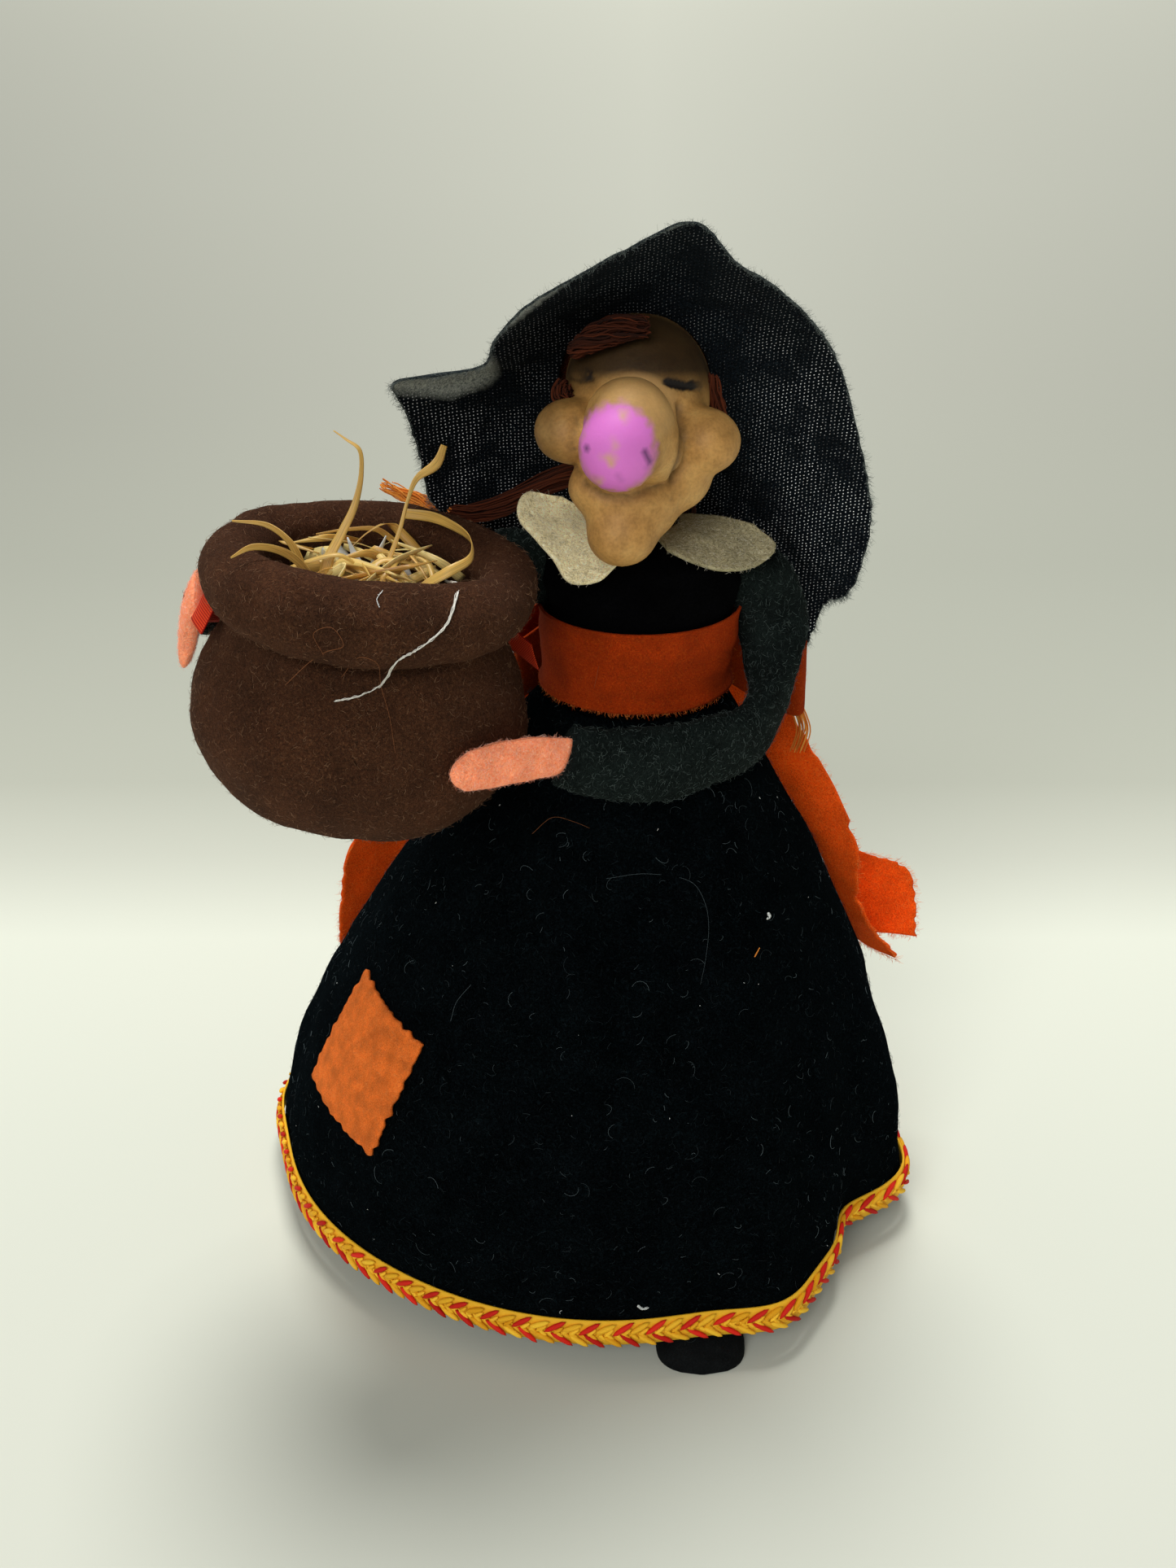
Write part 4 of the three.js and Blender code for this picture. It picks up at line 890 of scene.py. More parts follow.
tails = {}
for node, rows in bow["tails"].items():
    surface = creased(bandSurface(rows, waistBack), 10.0, 0.8, 12.0, edge=0.05)
    tails[node] = addCloth(node + "_velvet", surface, (40, 140), (20, 125), [litVelvet], "orange_velvet",
                           node, wall=(0.7, 1.0))
for node, tail in tails.items():
    edgeFuzz(tail, bandSurface(bow["tails"][node], waistBack), sashFibre, seed=31, count=900, length=1.7,
             thickness=0.08, edges=("near", "far", "end"))
    addNap(tail, sashFibre, seed=33, count=1500, length=1.1)
edgeFuzz(sashPiece, sashSurface, sashFibre, seed=35, count=700, length=1.3, thickness=0.07)
print("bow made")


# Collar: two felt lobes over the shoulders, each row from the neck outwards
neckMiddle = np.array([11.5, -3, 185])
collars = {
    "collar_left": ([
        [[-3, -9, -0.6], [-3.6, -15, -1], [-4.4, -20.5, -2.5]],
        [[-5, -8.5, -0.6], [-7.5, -17, -1], [-9.5, -25.5, -5]],
        [[-7.5, -7.5, -0.6], [-12, -17, -0.5], [-15.5, -25, -5.5]],
        [[-9.5, -4, -0.4], [-16, -12, 2], [-20.5, -20.5, 0]],
        [[-10.2, 0, -0.3], [-19.5, -6, 4], [-27, -14, 5.5]],
        [[-10.2, 2, -0.3], [-18, -2, 4], [-26, -7, 9]],
        [[-10, 4, -0.3], [-13, 2, 2.5], [-18, -1, 6.5]]], collarFelt, 1.0),
    "collar_right": ([
        [[2.5, -9, 0], [4.5, -14, 0.5], [6, -18, -0.5]],
        [[4.5, -8.2, 0], [8.5, -14, 0.2], [11.5, -20.5, -2.5]],
        [[6.5, -7, 0], [13, -13, 0], [19, -19.5, -4.8]],
        [[8.8, -4, 0.2], [18, -7.5, -0.2], [27, -13, -5.5]],
        [[9.4, -1, 0.3], [19, -3, 0.6], [31, -7.5, -3.5]],
        [[9.6, 2, 0.3], [17, 1, 1.5], [26.5, -2.5, 0]]], shadedCollarFelt, -1.0),
}
lobes = []
for node, (rows, felt, upper) in collars.items():
    surface = creased(bandSurface(rows, neckMiddle), 6.0, 0.5, 15.0)
    lobes.append(addCloth(node + "_felt", surface, (40, 60), (22, 34), [felt], "cream_felt", node,
                          wall=(0.9, upper)))
    addNap(lobes[-1], collarFibre, seed=41, count=1100, length=1.2, lift=(0.2, 0.9))
print("collars made")


# Head: cast vinyl, a blend of egg shapes round the head's middle, as place and half sizes
headMiddle = neckMiddle + np.array([-1.5, -14, 27])
headShape = {
    "sharpness": 3.2, "underNeck": 185.3,
    "face": [[[1, 12, 5.5], [16, 18, 15.5]], [[1, 2, -1], [14, 14, 15.5]], [[-14.5, -7.5, 1], [7, 8, 6.6]],
             [[15.5, -7.5, -1.2], [7.2, 8, 6.8]], [[9.8, -6, -8.5], [7, 9, 8]],
             [[-2.4, -11, -10.5], [11.8, 9, 7.6]], [[-2.7, -15.5, -19.5], [7.5, 7, 6.8]],
             [[0, -10, -15], [9.4, 8, 8]], [[1.5, 13, -19], [8, 8.5, 11]]],
    "nose": [[[-1.5, -17, 5], [9.5, 12, 10]], [[-3.8, -27, 2.8], [8.2, 8.2, 8.6]],
             [[4, -15.5, -0.5], [6.2, 8, 7]]],
}


def headReach(directions, forms):
    def field(reach):
        at = directions * reach[:, None]
        total = np.zeros(len(at))
        for place, half in forms:
            spread = np.sum(((at - place) / half) ** 2, axis=1)
            total += np.exp(-headShape["sharpness"] * (spread - 1))
        return total
    outside = np.full(len(directions), 48.0)
    for _ in range(47):
        outside = np.where(field(outside) < 1, outside - 1, outside)
    inside, outside = outside.copy(), outside + 1
    for _ in range(12):
        half = (inside + outside) / 2
        beyond = field(half) < 1
        outside, inside = np.where(beyond, half, outside), np.where(beyond, inside, half)
    return inside


# How near each pixel place is to a painted line, 1 on it and 0 past its half width
def nearLine(px, py, line, width):
    best = np.full(len(px), 1e9)
    for (ax, ay), (bx, by) in zip(line, line[1:]):
        dx, dy = bx - ax, by - ay
        share = np.clip(((px - ax) * dx + (py - ay) * dy) / (dx * dx + dy * dy), 0, 1)
        best = np.minimum(best, np.hypot(px - ax - share * dx, py - ay - share * dy))
    return np.clip(1 - best / width, 0, 1)


# Modelled lines and painted marks of the face, in the photograph's pixels
face = {
    "grooves": [([(835, 496), (839, 530), (836, 562), (824, 594)], 8, 1.3),
        ([(707, 512), (702, 545), (705, 572), (718, 594)], 7, 0.9),
        ([(718, 598), (744, 612), (775, 612), (812, 598)], 10, 1.0),
        ([(822, 594), (828, 604), (826, 616)], 4, 0.45), ([(834, 596), (838, 608), (834, 622)], 4, 0.35),
        ([(845, 593), (850, 604), (846, 616)], 4, 0.25), ([(764, 646), (767, 662), (765, 680)], 8, 0.35),
        ([(815, 470), (838, 474), (862, 480)], 6, 0.5), ([(702, 466), (714, 470), (728, 466)], 6, 0.5)],
    "strokes": [([(703, 463), (709, 455), (719, 453), (726, 458)], 3.6),
        ([(704, 465), (714, 467), (725, 463)], 3.2), ([(709, 460), (718, 461)], 3.4),
        ([(819, 468), (832, 470), (846, 474), (861, 473)], 5.2),
        ([(822, 473), (838, 477), (852, 475)], 4.2), ([(846, 470), (862, 470)], 3.2)],
    "scratches": [([(768, 548), (778, 562)], 2.4), ([(792, 556), (799, 568)], 2.2),
        ([(786, 572), (794, 576)], 2.2), ([(760, 586), (770, 592)], 2.2), ([(717, 546), (726, 556)], 2.4),
        ([(738, 555), (744, 563)], 2.2)],
    "worn": [(749, 564, 8), (756, 544, 6), (767, 510, 7), (735, 590, 6), (800, 590, 6)],
}


# Paint and wear, as a value from 0 to 1 at each vertex
def paintLayers(mesh, layers):
    for layer, values in layers.items():
        attribute = mesh.attributes.new(layer, "FLOAT", "POINT")
        attribute.data.foreach_set("value", values.astype(np.float32))


def addHead():
    bm = bmesh.new()
    bmesh.ops.create_icosphere(bm, subdivisions=6, radius=1.0)
    directions = unit(np.array([v.co for v in bm.verts]))
    faceReach, noseReach = (headReach(directions, headShape[part]) for part in ("face", "nose"))
    # The nose meets the cheeks in a tight crease.
    reach = np.logaddexp(faceReach * 2.6, noseReach * 2.6) / 2.6
    places = headMiddle + directions * reach[:, None]
    px, py = photoPlace(places)
    front = np.clip(-directions[:, 1] * 3 + 0.6, 0, 1)
    sink = np.zeros(len(places))
    for line, width, depth in face["grooves"]:
        sink += nearLine(px, py, line, width) ** 2 * depth
    lumps = ripple(places, 6.0, 6.0) * 0.22 + ripple(places, 1.2, 9.0) * 0.04
    places = headMiddle + directions * (reach - sink * front + lumps)[:, None]
    places[:, 2] = np.maximum(places[:, 2], headShape["underNeck"])
    for vertex, place in zip(bm.verts, places * mm):
        vertex.co = place
    mesh = finishMesh("head_vinyl", bm)
    # The nose tip's paint fades out in brush marks on its upper edge.
    brush = ripple(stack(px / 5, py / 16, 0), 1.0, 4.0)
    ball = np.hypot((px - 758) / 50, (py - 549.5) / 57)
    fromTip = np.linalg.norm(places - headMiddle - [-3.8, -28, 2.8], axis=1)
    pink = np.clip((1.04 + brush * 0.16 - ball) * 6, 0, 1) * front * np.clip((14 - fromTip) / 1.5, 0, 1)
    worn = sum(np.clip(1.2 - np.hypot(px - x, py - y) / size + brush * 0.8, 0, 1)
               for x, y, size in face["worn"])
    strokes = sum(np.clip(nearLine(px, py, line, width) * 3, 0, 1) for line, width in face["strokes"])
    scratches = sum(nearLine(px, py, line, width) for line, width in face["scratches"])
    # Painted shade darkens the creases, and painted shadow the forehead under the brim and the cheek
    # behind the lobe, but not the bridge of the nose, which gets a painted highlight.
    bridge = np.hypot((px - 772) / 50, (py - 503) / 46)
    shade = (np.clip(sink * 0.5, 0, 0.7) + np.clip((494 - py) / 42, 0, 0.92)
             + np.clip((706 - px) / 60, 0, 0.5) - 0.6 * np.clip((1.12 - bridge) * 2.6, 0, 1))
    # A painted highlight lightens the top of the nose outside the pink; it goes into the worn layer with the
    # real wear.
    paintedHighlight = np.clip((1.1 - np.hypot((px - 782) / 52, (py - 504) / 44)) * 2.5, 0, 0.55) * (1 - pink)
    paintLayers(mesh, {
        "pink": pink, "worn": np.clip(worn, 0, 0.8) * pink + paintedHighlight * front,
        "stroke": np.clip(strokes, 0, 1) * front, "scratch": np.clip(scratches * 1.4, 0, 0.85) * front,
        "shade": np.clip(shade, 0, 0.93) * np.clip(2.4 - directions[:, 1] * 3, 0, 1)})
    addPiece("head_vinyl", mesh, "head", [vinyl], "face_vinyl", "head")


addHead()
print("head made")


# Hair: orange yarn, painted dark as shade, in tufts and one long lock, as points from the head's middle, half
# width, half depth
hair = {
    "hair_fringe": ([[[-13, 3.5, 15.2], 1.6, 2], [[-10.3, -0.6, 18.4], 2.6, 2.4],
        [[-4.6, -1.6, 21.2], 3.2, 2.6], [[3.2, -1.6, 22.2], 2.2, 2]], 90),
    "hair_temple": ([[[-15.5, 5, 7.5], 1.6, 2], [[-15.5, 1, 6.5], 2.8, 2.4], [[-14.2, -2, 6.5], 1.8, 2]],
        40),
    "hair_right": ([[[16, 8, 9], 1.8, 1.8], [[18.6, 7.5, 0], 2.4, 2], [[17.6, 9.5, -11], 2, 1.8]], 60),
    "hair_lock_left": ([[[-8, 10, -12], 3, 1.8], [[-19, 17, -18.5], 2.8, 1.4],
        [[-33, 25.5, -28], 2.4, 1.2], [[-42, 28, -29.5], 1.8, 1.1], [[-47, 28.5, -28], 1.4, 1]], 46),
    "hair_back": ([[[1.5, 22.1, -17], 1.2, 9], [[1.5, 26.3, -23], 1.4, 13], [[1.5, 34, -31], 1.5, 15],
        [[1.5, 39, -40], 1.4, 14], [[1.5, 41.2, -49], 1, 9]], 150),
}


def addLock(name, stations, count, seed, material=shadedHairYarn, node=None):
    rng = np.random.default_rng(seed)
    line, halfAt, thinAt = alongStations(stations)
    paths = []
    for _ in range(count):
        turn = rng.uniform(0, 2 * math.pi)
        out = math.sqrt(rng.uniform(0.05, 1))
        v = np.linspace(rng.uniform(-0.02, 0.1), rng.uniform(0.86, 1.03), 14)
        spin = turn + v * rng.uniform(1, 3)
        wave = rng.uniform(0.15, 0.4) * np.sin(v * rng.uniform(14, 26) + turn)
        across, through = halfAt(v) * out * np.cos(spin) + wave, thinAt(v) * out * np.sin(spin)
        direction = directionAt(line, v, 0.01)
        paths.append(headMiddle + besideLine(line(v), direction, (0.1, 0.05, 1), across, through))
    thickness = rng.uniform(0.35, 0.75, count)
    addStrands(name + "_yarn", paths, thickness, "head", material, "rust_yarn", 0.6, node)


for number, (node, (stations, count)) in enumerate(hair.items()):
    addLock(node, stations, count, 50 + number, node=node)
# The lock's end lies past the hat's edge, in the light, so its yarn is painted bright.
addLock("hair_lock_end", [[[-42, 28, -29.5], 1.7, 1], [[-49, 29, -27.5], 1.7, 1],
                          [[-59, 30.5, -23.5], 1.5, 1]], 34, 56, litYarn)


# Hat: an open brim round the face and a soft crown behind, from the middle of its opening
hatMiddle = headMiddle + np.array([0.5, 19, 4])
hat = {
    "opening": 17,
    "tilt": 20,
    "back": 4.5,
    "wall": 0.5,
    "edge": [[43, 19.5, -71.5], [47.5, 17, -60], [52.5, 11, -54.5], [55.5, 4, -34], [52.5, 0, -18.5],
        [44, -9, 7.4], [37.8, -14, 17], [28.6, -20, 26.2], [19.9, -25, 32.4], [11.2, -29, 41.2],
        [-3.6, -32, 35.9], [-13.2, -33, 30.9], [-22.9, -31.5, 24.8], [-29.9, -27, 16.5],
        [-32.5, -21, 9.8], [-42, -20, 7.2], [-52.2, -18, 5], [-50.4, -10, -4.6], [-48.5, -1.5, -16.8],
        [-46, 7, -32], [-25, 21, -45], [4, 26, -48], [28, 23.5, -53]],
    "crown": [[[0, 4.5, 1], 23.6, 20], [[0.5, 12, 4], 21.5, 20], [[1.5, 27, 8.5], 15.5, 14],
        [[3, 41, 10], 9.5, 2], [[4.5, 52, 7.5], 5.4, -20], [[5.5, 59, 2.5], 2.6, -40],
        [[5.7, 60.3, 1.4], 0.1, -45]],
    "wig": [[[0, 6.5, 1], 17.6, 20], [[0.5, 13, 4], 18.2, 20], [[1.5, 27, 8.5], 13.7, 14],
        [[3, 39.5, 10], 7.6, 2]],
}
brimLine = smoothPath(hat["edge"], closed=True)


def brimSurface(u, v):
    outer = brimLine(u)
    angle = np.arctan2(outer[:, 2], outer[:, 0])
    tilt = math.radians(hat["tilt"])
    inner = hat["opening"] * stack(np.cos(angle), -np.sin(angle) * math.sin(tilt),
                                   np.sin(angle) * math.cos(tilt))
    ragged = ripple(ringPlaces(u, 30, 0), 1.2, 3.0)
    reach = v[:, None] * (1 + 0.012 * ragged[:, None] * v[:, None] ** 8)
    smooth = inner + (outer - inner) * reach
    smooth[:, 1] += 5 * np.sin(math.pi * v) + hat["back"] * (1 - v) ** 2
    wave = ripple(smooth, 9.0, 14.0) * 1.1 + ripple(smooth, 4.0, 17.0) * 0.3
    smooth[:, 1] += wave * np.clip(v * 3, 0, 1) * np.clip(1.25 - v, 0.3, 1) - 0.5
    return hatMiddle + smooth


# The weave's rows rise towards the viewer's right, and the brushed outside shows where the edge
# turns over: along the upper left edge and on the left lobe's top.
# There it is painted pale grey, lighter than the outside cloth, as a painted highlight where the light
# catches the turned edge.
def layWeave(mesh):
    uvs = np.zeros(len(mesh.loops) * 2)
    layer = mesh.uv_layers["UVMap"].data
    layer.foreach_get("uv", uvs)
    uvs = uvs.reshape(-1, 2)
    uvs[:, 1] -= 0.42 * np.maximum(uvs[:, 0] - 0.012, 0)
    layer.foreach_set("uv", uvs.ravel())
    places = np.zeros(len(mesh.vertices) * 3)
    mesh.vertices.foreach_get("co", places)
    px, py = photoPlace(places.reshape(-1, 3) / mm)
    rough = ripple(stack(px / 9, py / 9, 0), 1.0, 5.0) * 3
    turned = np.maximum(*[np.clip(nearLine(px, py + rough, line, width) * 1.8, 0, 1) for line, width in (
        ([(480, 462), (516, 466), (552, 470), (592, 455)], 24),
        ([(584, 422), (632, 384), (694, 336), (766, 290), (850, 260)], 13))])
    # Painted light through the pinholes shows on the left lobe and all along the right side.
    lobe = np.exp(-((px - 560) / 95) ** 2 - ((py - 560) / 85) ** 2)
    side = np.clip((px - 905) / 70, 0, 1) * np.clip((py - 370) / 90, 0, 1)
    paintLayers(mesh, {"turned": turned, "open": 0.2 + 0.8 * np.maximum(lobe, side)})


brim = addCloth("hat_brim_cloth", brimSurface, (460, 48), None, [hatWeave, hatNap], "hat_cloth", "hat_brim",
                "head", wall=(hat["wall"], -1.0, 1), closed=True)
layWeave(brim.data)
edgeFuzz(brim, brimSurface, hatFibre, seed=57, count=3600, length=1.9, thickness=0.06)


# Rings round a line that runs back: rows hold a point, a radius and a tilt in degrees
def ringSurface(rows, seed, size, depth):
    centres, radiusAt, tiltAt = alongStations(rows)

    def at(u, v):
        turn = u * 2 * math.pi
        tilt = np.radians(tiltAt(v))
        radius = radiusAt(v) + ripple(ringPlaces(u, 20, v * 50), size, seed) * depth - depth * 0.5
        return hatMiddle + centres(v) + stack(radius * np.cos(turn), -radius * np.sin(turn) * np.sin(tilt),
                                              radius * np.sin(turn) * np.cos(tilt))
    return at


# The crown's front edge is sewn to the brim, so it follows the brim's waves there.
def crownSurface(u, v):
    places = ringSurface(hat["crown"], 4.0, 8.0, 1.2)(u, v)
    turns, reaches = np.meshgrid(np.linspace(0, 1, 240, endpoint=False), np.linspace(0, 0.6, 24))
    brimPlaces = brimSurface(turns.ravel(), reaches.ravel())
    seam = v < 0.14
    apart = np.linalg.norm(places[seam][:, None, [0, 2]] - brimPlaces[None, :, [0, 2]], axis=2)
    sewn = brimPlaces[np.argmin(apart, axis=1), 1] + 0.6
    share = np.clip(v[seam] / 0.14, 0, 1)
    places[seam, 1] = sewn * (1 - share) + places[seam, 1] * share
    return places


crown = addCloth("hat_crown_cloth", crownSurface, (96, 80), (150, 66), [hatNap], "hat_cloth", "hat_crown",
                 "head", closed=True)
addCloth("hair_wig_wool", ringSurface(hat["wig"], 9.0, 4.0, 0.5), (72, 40), (140, 44), [wigFelt], "rust_yarn",
         "hair_wig", "head", caps=True)
print("hat made")


# Arms: felt sleeves on one wire, and a flat felt mitt sewn to each cuff
arms = {
    "sleeve_left": ((37.05, 0, 172), (0.2, 0.1, 1), (1, 0, 0), [[[-2.5, 0, 0], 8, 6.5],
        [[3, -0.6, -2.2], 8, 6.4], [[5.7, -1, -9], 8.6, 5.8], [[6.4, -3.5, -19], 9, 5.4],
        [[5.6, -9, -28], 8.6, 5.2], [[1.1, -19, -32.5], 8.6, 4.8], [[-9.4, -30, -32.5], 9.2, 4.6],
        [[-21.4, -39.5, -31], 9.4, 4.5], [[-33.4, -46.5, -27.5], 8.8, 4.3],
        [[-41.9, -51, -23.5], 7.2, 4]]),
    "sleeve_right": ((-12.15, 0, 172), (-0.2, 0.1, 1), (-1, 0, 0),
        [[[2.5, 0, 0.8], 9, 6.5], [[-5, 0.6, 0.4], 9.8, 6], [[-10.6, 3.5, -3.5], 9.8, 5.4],
        [[-20.6, 8.5, -8.5], 9, 4.6], [[-36.6, 11, -12], 7.6, 4], [[-53.6, 8.5, -11], 6.8, 3.8],
        [[-66.6, 1, -9], 6.4, 3.6], [[-74.9, -11, -5], 6, 3.4], [[-76.1, -20, -1.5], 5.6, 3.2]]),
}
hands = {
    "hand_left": ("sleeve_left", (0.15, 0, 1), [
        [[-0.25, -0.17, 0.1], 4.4, 0.85], [[-8, -6.5, 2.4], 5.2, 1], [[-15.6, -12.9, 4], 5.4, 1],
        [[-20.4, -17, 4.8], 4.6, 0.9], [[-22.7, -19, 5.2], 2.6, 0.6], [[-23.4, -19.6, 5.3], 0.5, 0.3]]),
    "hand_right": ("sleeve_right", (0.22, 0, 1), [
        [[-0.03, -0.28, 0.15], 7.5, 0.8], [[0.2, -6, 1], 10.6, 1], [[0.8, -12, 1.4], 10.8, 1],
        [[2, -17, 1.6], 6, 0.7]]),
}


def sleeveWrinkle(u, v, middle):
    around = ringPlaces(u, 5, v * 60)
    return ripple(around + middle * 0.3, 5.0, 6.0) * 0.8 + ripple(middle * 0.5 + around, 2.0, 3.0) * 0.2 - 0.3


def handWrinkle(u, v, middle):
    return ripple(stack(u * 20, v * 20, 0), 3.0, 8.0) * 0.25 - 0.1


for number, (node, (start, wide, outward, offsets)) in enumerate(arms.items()):
    stations = [(np.array(start) + place, half, thin) for place, half, thin in offsets]
    surface = limbSurface(stations, wide, outward, sleeveWrinkle)
    sleeve = addCloth(node + "_felt", surface, (72, 170), (36, 90), [sleeveFelt], "charcoal_felt", node,
                      "arms", caps=True)
    addNap(sleeve, sleeveFibre, seed=61 + number, count=3000, length=1.6, thickness=0.075, lift=(0.1, 0.9),
           weight=seenFirst)

for number, (node, (sleeveName, wide, offsets)) in enumerate(hands.items()):
    start, _, _, sleeveOffsets = arms[sleeveName]
    cuff = np.array(start) + sleeveOffsets[-1][0]
    before = np.array(start) + sleeveOffsets[-2][0]
    stations = [(cuff + place, half, thin * 2.2) for place, half, thin in offsets]
    surface = limbSurface(stations, wide, unit(cuff - before), handWrinkle)
    mitt = addCloth(node + "_felt", surface, (56, 60), (24, 26), [handFelt], "hand_felt", node, "arms",
                    caps=True)
    addNap(mitt, handFibre, seed=71 + number, count=2600, length=1.2, thickness=0.06)
print("arms made")


# Cauldron: a pressed wool felt pot, spun round its own axis, leaning towards the figure
pot = {
    "foot": (-53.2, -38, 130.9),
    "lean": 6.9,
    "steps": 144,
    "rimRadius": 30,
    "rimHeight": 54.5,
    "rimTube": 6.6,
    "outside": [[17, 0.3], [27, 4.5], [33.8, 12], [37.2, 22], [35.6, 31.5], [31.6, 40], [29.6, 44.5],
        [29, 47]],
    "inside": [[28, 43.5], [32.6, 34], [33.8, 22], [30, 11], [22, 6], [0, 5]],
    "filling": [[0, 5.5], [21, 7], [29, 12], [33, 22], [32, 33], [27.5, 41], [22, 46.5], [18, 48.2],
        [9, 49], [0, 49]],
    "dents": [([(366, 716), (371, 748)], 7, 1.6), ([(252, 858), (256, 868)], 9, 2.2),
        ([(378, 778), (398, 800)], 8, 1.2), ([(404, 786), (420, 808)], 7, 1.0),
        ([(590, 770), (600, 800)], 9, 0.9), ([(296, 720), (312, 748)], 9, 0.8)],
}
potTurn = Matrix.Translation(Vector(pot["foot"])) @ Matrix.Rotation(math.radians(pot["lean"]), 4, "Y")


def potPoints(points):
    turned = np.array(potTurn.to_3x3())
    return np.asarray(points) @ turned.T + np.array(pot["foot"])


def spun(name, profile, shapeBy):
    bm = turnedForm(profile, pot["steps"])
    bm.normal_update()
    places = np.array([v.co for v in bm.verts])
    normals = np.array([v.normal for v in bm.verts])
    for vertex, place in zip(bm.verts, shapeBy(places, normals)):
        vertex.co = place
    bmesh.ops.transform(bm, matrix=Matrix.Scale(mm, 4) @ potTurn, verts=bm.verts)
    return finishMesh(name, bm)


# The rolled rim is fullest at the front, and small dents lie where the felt was pinched.
def potLumps(places, normals):
    radius = np.hypot(places[:, 0], places[:, 1])
    outward = places * [1, 1, 0] / np.maximum(radius, 0.1)[:, None]
    front = np.clip(-outward[:, 1], 0, 1) ** 1.5
    middle = outward * pot["rimRadius"] + np.array([0, 0, pot["rimHeight"]])
    fromTube = places - middle
    held = np.clip(1 - (np.linalg.norm(fromTube, axis=1) - pot["rimTube"]) / 3.5, 0, 1)
    moved = (fromTube * 0.38 - outward * 0.8 + np.array([0, 0, 1.1])) * front[:, None]
    full = places + moved * held[:, None]
    lumps = ripple(places, 14.0, 3.0) * 0.9 + ripple(places, 5.0, 6.0) * 0.3
    world = potPoints(full)
    px, py = photoPlace(world)
    facing = np.sum((photoAxes()[0] - world) * (normals @ np.array(potTurn.to_3x3()).T), axis=1) > 0
    dents = sum(nearLine(px, py, line, width) ** 1.5 * depth for line, width, depth in pot["dents"]) * facing
    return full + normals * (lumps - dents - 0.2)[:, None]


def rimPoints():
    turns = np.radians(np.arange(-84, 211, 7))
    return stack(pot["rimRadius"] + pot["rimTube"] * np.cos(turns),
                 pot["rimHeight"] + pot["rimTube"] * np.sin(turns))


def waddingLumps(places, normals):
    return places + normals * (ripple(places, 5.0, 2.0) * 0.9 + ripple(places, 2.0, 5.0) * 0.4 - 0.6)[:, None]


potProfile = [[0, 0], *traced(pot["outside"], 26), *rimPoints(), *traced(pot["inside"], 20)]
cauldron = addPiece("cauldron_felt", spun("cauldron_felt", potProfile, potLumps), "arms", [potFelt],
                    "brown_felt", "cauldron")
addNap(cauldron, potFibre, seed=81, count=7000, length=1.6, lift=(0.1, 1.1), weight=seenFirst)
wadding = addPiece("pot_wadding", spun("pot_wadding", traced(pot["filling"], 30), waddingLumps), "arms",
                   [woolWadding], "wadding", "wadding")
print("cauldron made")


# Ribbon round the back of the pot under its rim, its two ends turned out. Its rows hold the angle
# round the pot, how far it stands off and how far it sinks.
ribbon = {
    "half": 3.4,
    "middle": 37,
    "angles": [[202, 0.4, -9], [195, 1.2, -9.4], [187, 1.6, -8.6], [177, 1.4, -5.5], [164, 0.8, -2],
        [150, 0, 0], [125, 0, 0], [100, 0, 0], [75, 0, 0], [52, 0, 0], [38, 1, 0.5], [33, 4.5, 2.5],
        [28, 8.5, 5.5]],
}


def ribbonRows():
    outside = traced(pot["outside"], 60)
    rows = []
    for angle, out, sink in ribbon["angles"]:
        row = []
        for edge in (ribbon["half"], 0, -ribbon["half"]):
            radius = max(np.interp(ribbon["middle"] + edge, outside[:, 1], outside[:, 0]), 32) + 0.6 + out
            turn = math.radians(angle)
            row.append([radius * math.cos(turn), radius * math.sin(turn), ribbon["middle"] + edge - sink])
        rows.append(potPoints(row))
    return rows


addCloth("pot_ribbon_weave", bandSurface(ribbonRows()), (10, 120), (6.8, 115), [wovenRibbon], "red_ribbon",
         "pot_ribbon", "arms", wall=(0.35, 1.0))


# Straw: flat split strips in the mouth: widths along each, and points in mm from the pot's foot
straw = {
    "straw_tall": ([2.8, 2.4, 1.9, 1.5, 1, 0.9, 0.6, 0.2], [[-9.6, -5, 49.9], [-9, -3.5, 58],
        [-6.7, 0, 63.6], [-4.6, 3, 69.2], [-3.9, 5, 75.8], [-4.8, 6, 80.4], [-7.8, 7, 81.9],
        [-10.6, 8, 83.2]]),
    "straw_wide": ([1.3, 1.1, 0.9, 0.7, 1.3, 2.4, 1.8], [[1.5, -3, 49.9], [3, 1, 56], [5.2, 5, 64],
        [6.2, 8, 69.8], [7.6, 10, 74.1], [11.5, 12, 77.4], [12.7, 13, 81.2]]),
    "straw_loop": ([2.2, 2.4, 2.2, 1.8, 1.5, 1.8, 2.3, 2.6, 2, 1],
        [[4.9, 19.5, 62.6], [11.5, 17.5, 63.2], [16.5, 13, 63.3], [20.1, 6, 63.7], [21.4, -4, 64.2],
        [20.6, -10, 64.2], [17, -14, 63], [12, -13.5, 59], [8.5, -11, 54], [7.5, -9.5, 49.9]]),
    "straw_curl_back": ([0.3, 1.2, 1.8, 1.9, 1.5], [[-29.3, -4, 65], [-21.5, -6, 65.6], [-16.4, -8, 63],
        [-13.6, -8, 57], [-12.2, -7, 49.9]]),
    "straw_curl_front": ([0.3, 1.4, 1.8, 1.6, 1.3], [[-26.7, -22, 63.8], [-22.8, -20, 65.8],
        [-16.4, -16.5, 64], [-11.5, -13, 58], [-9, -11, 49.9]]),
}


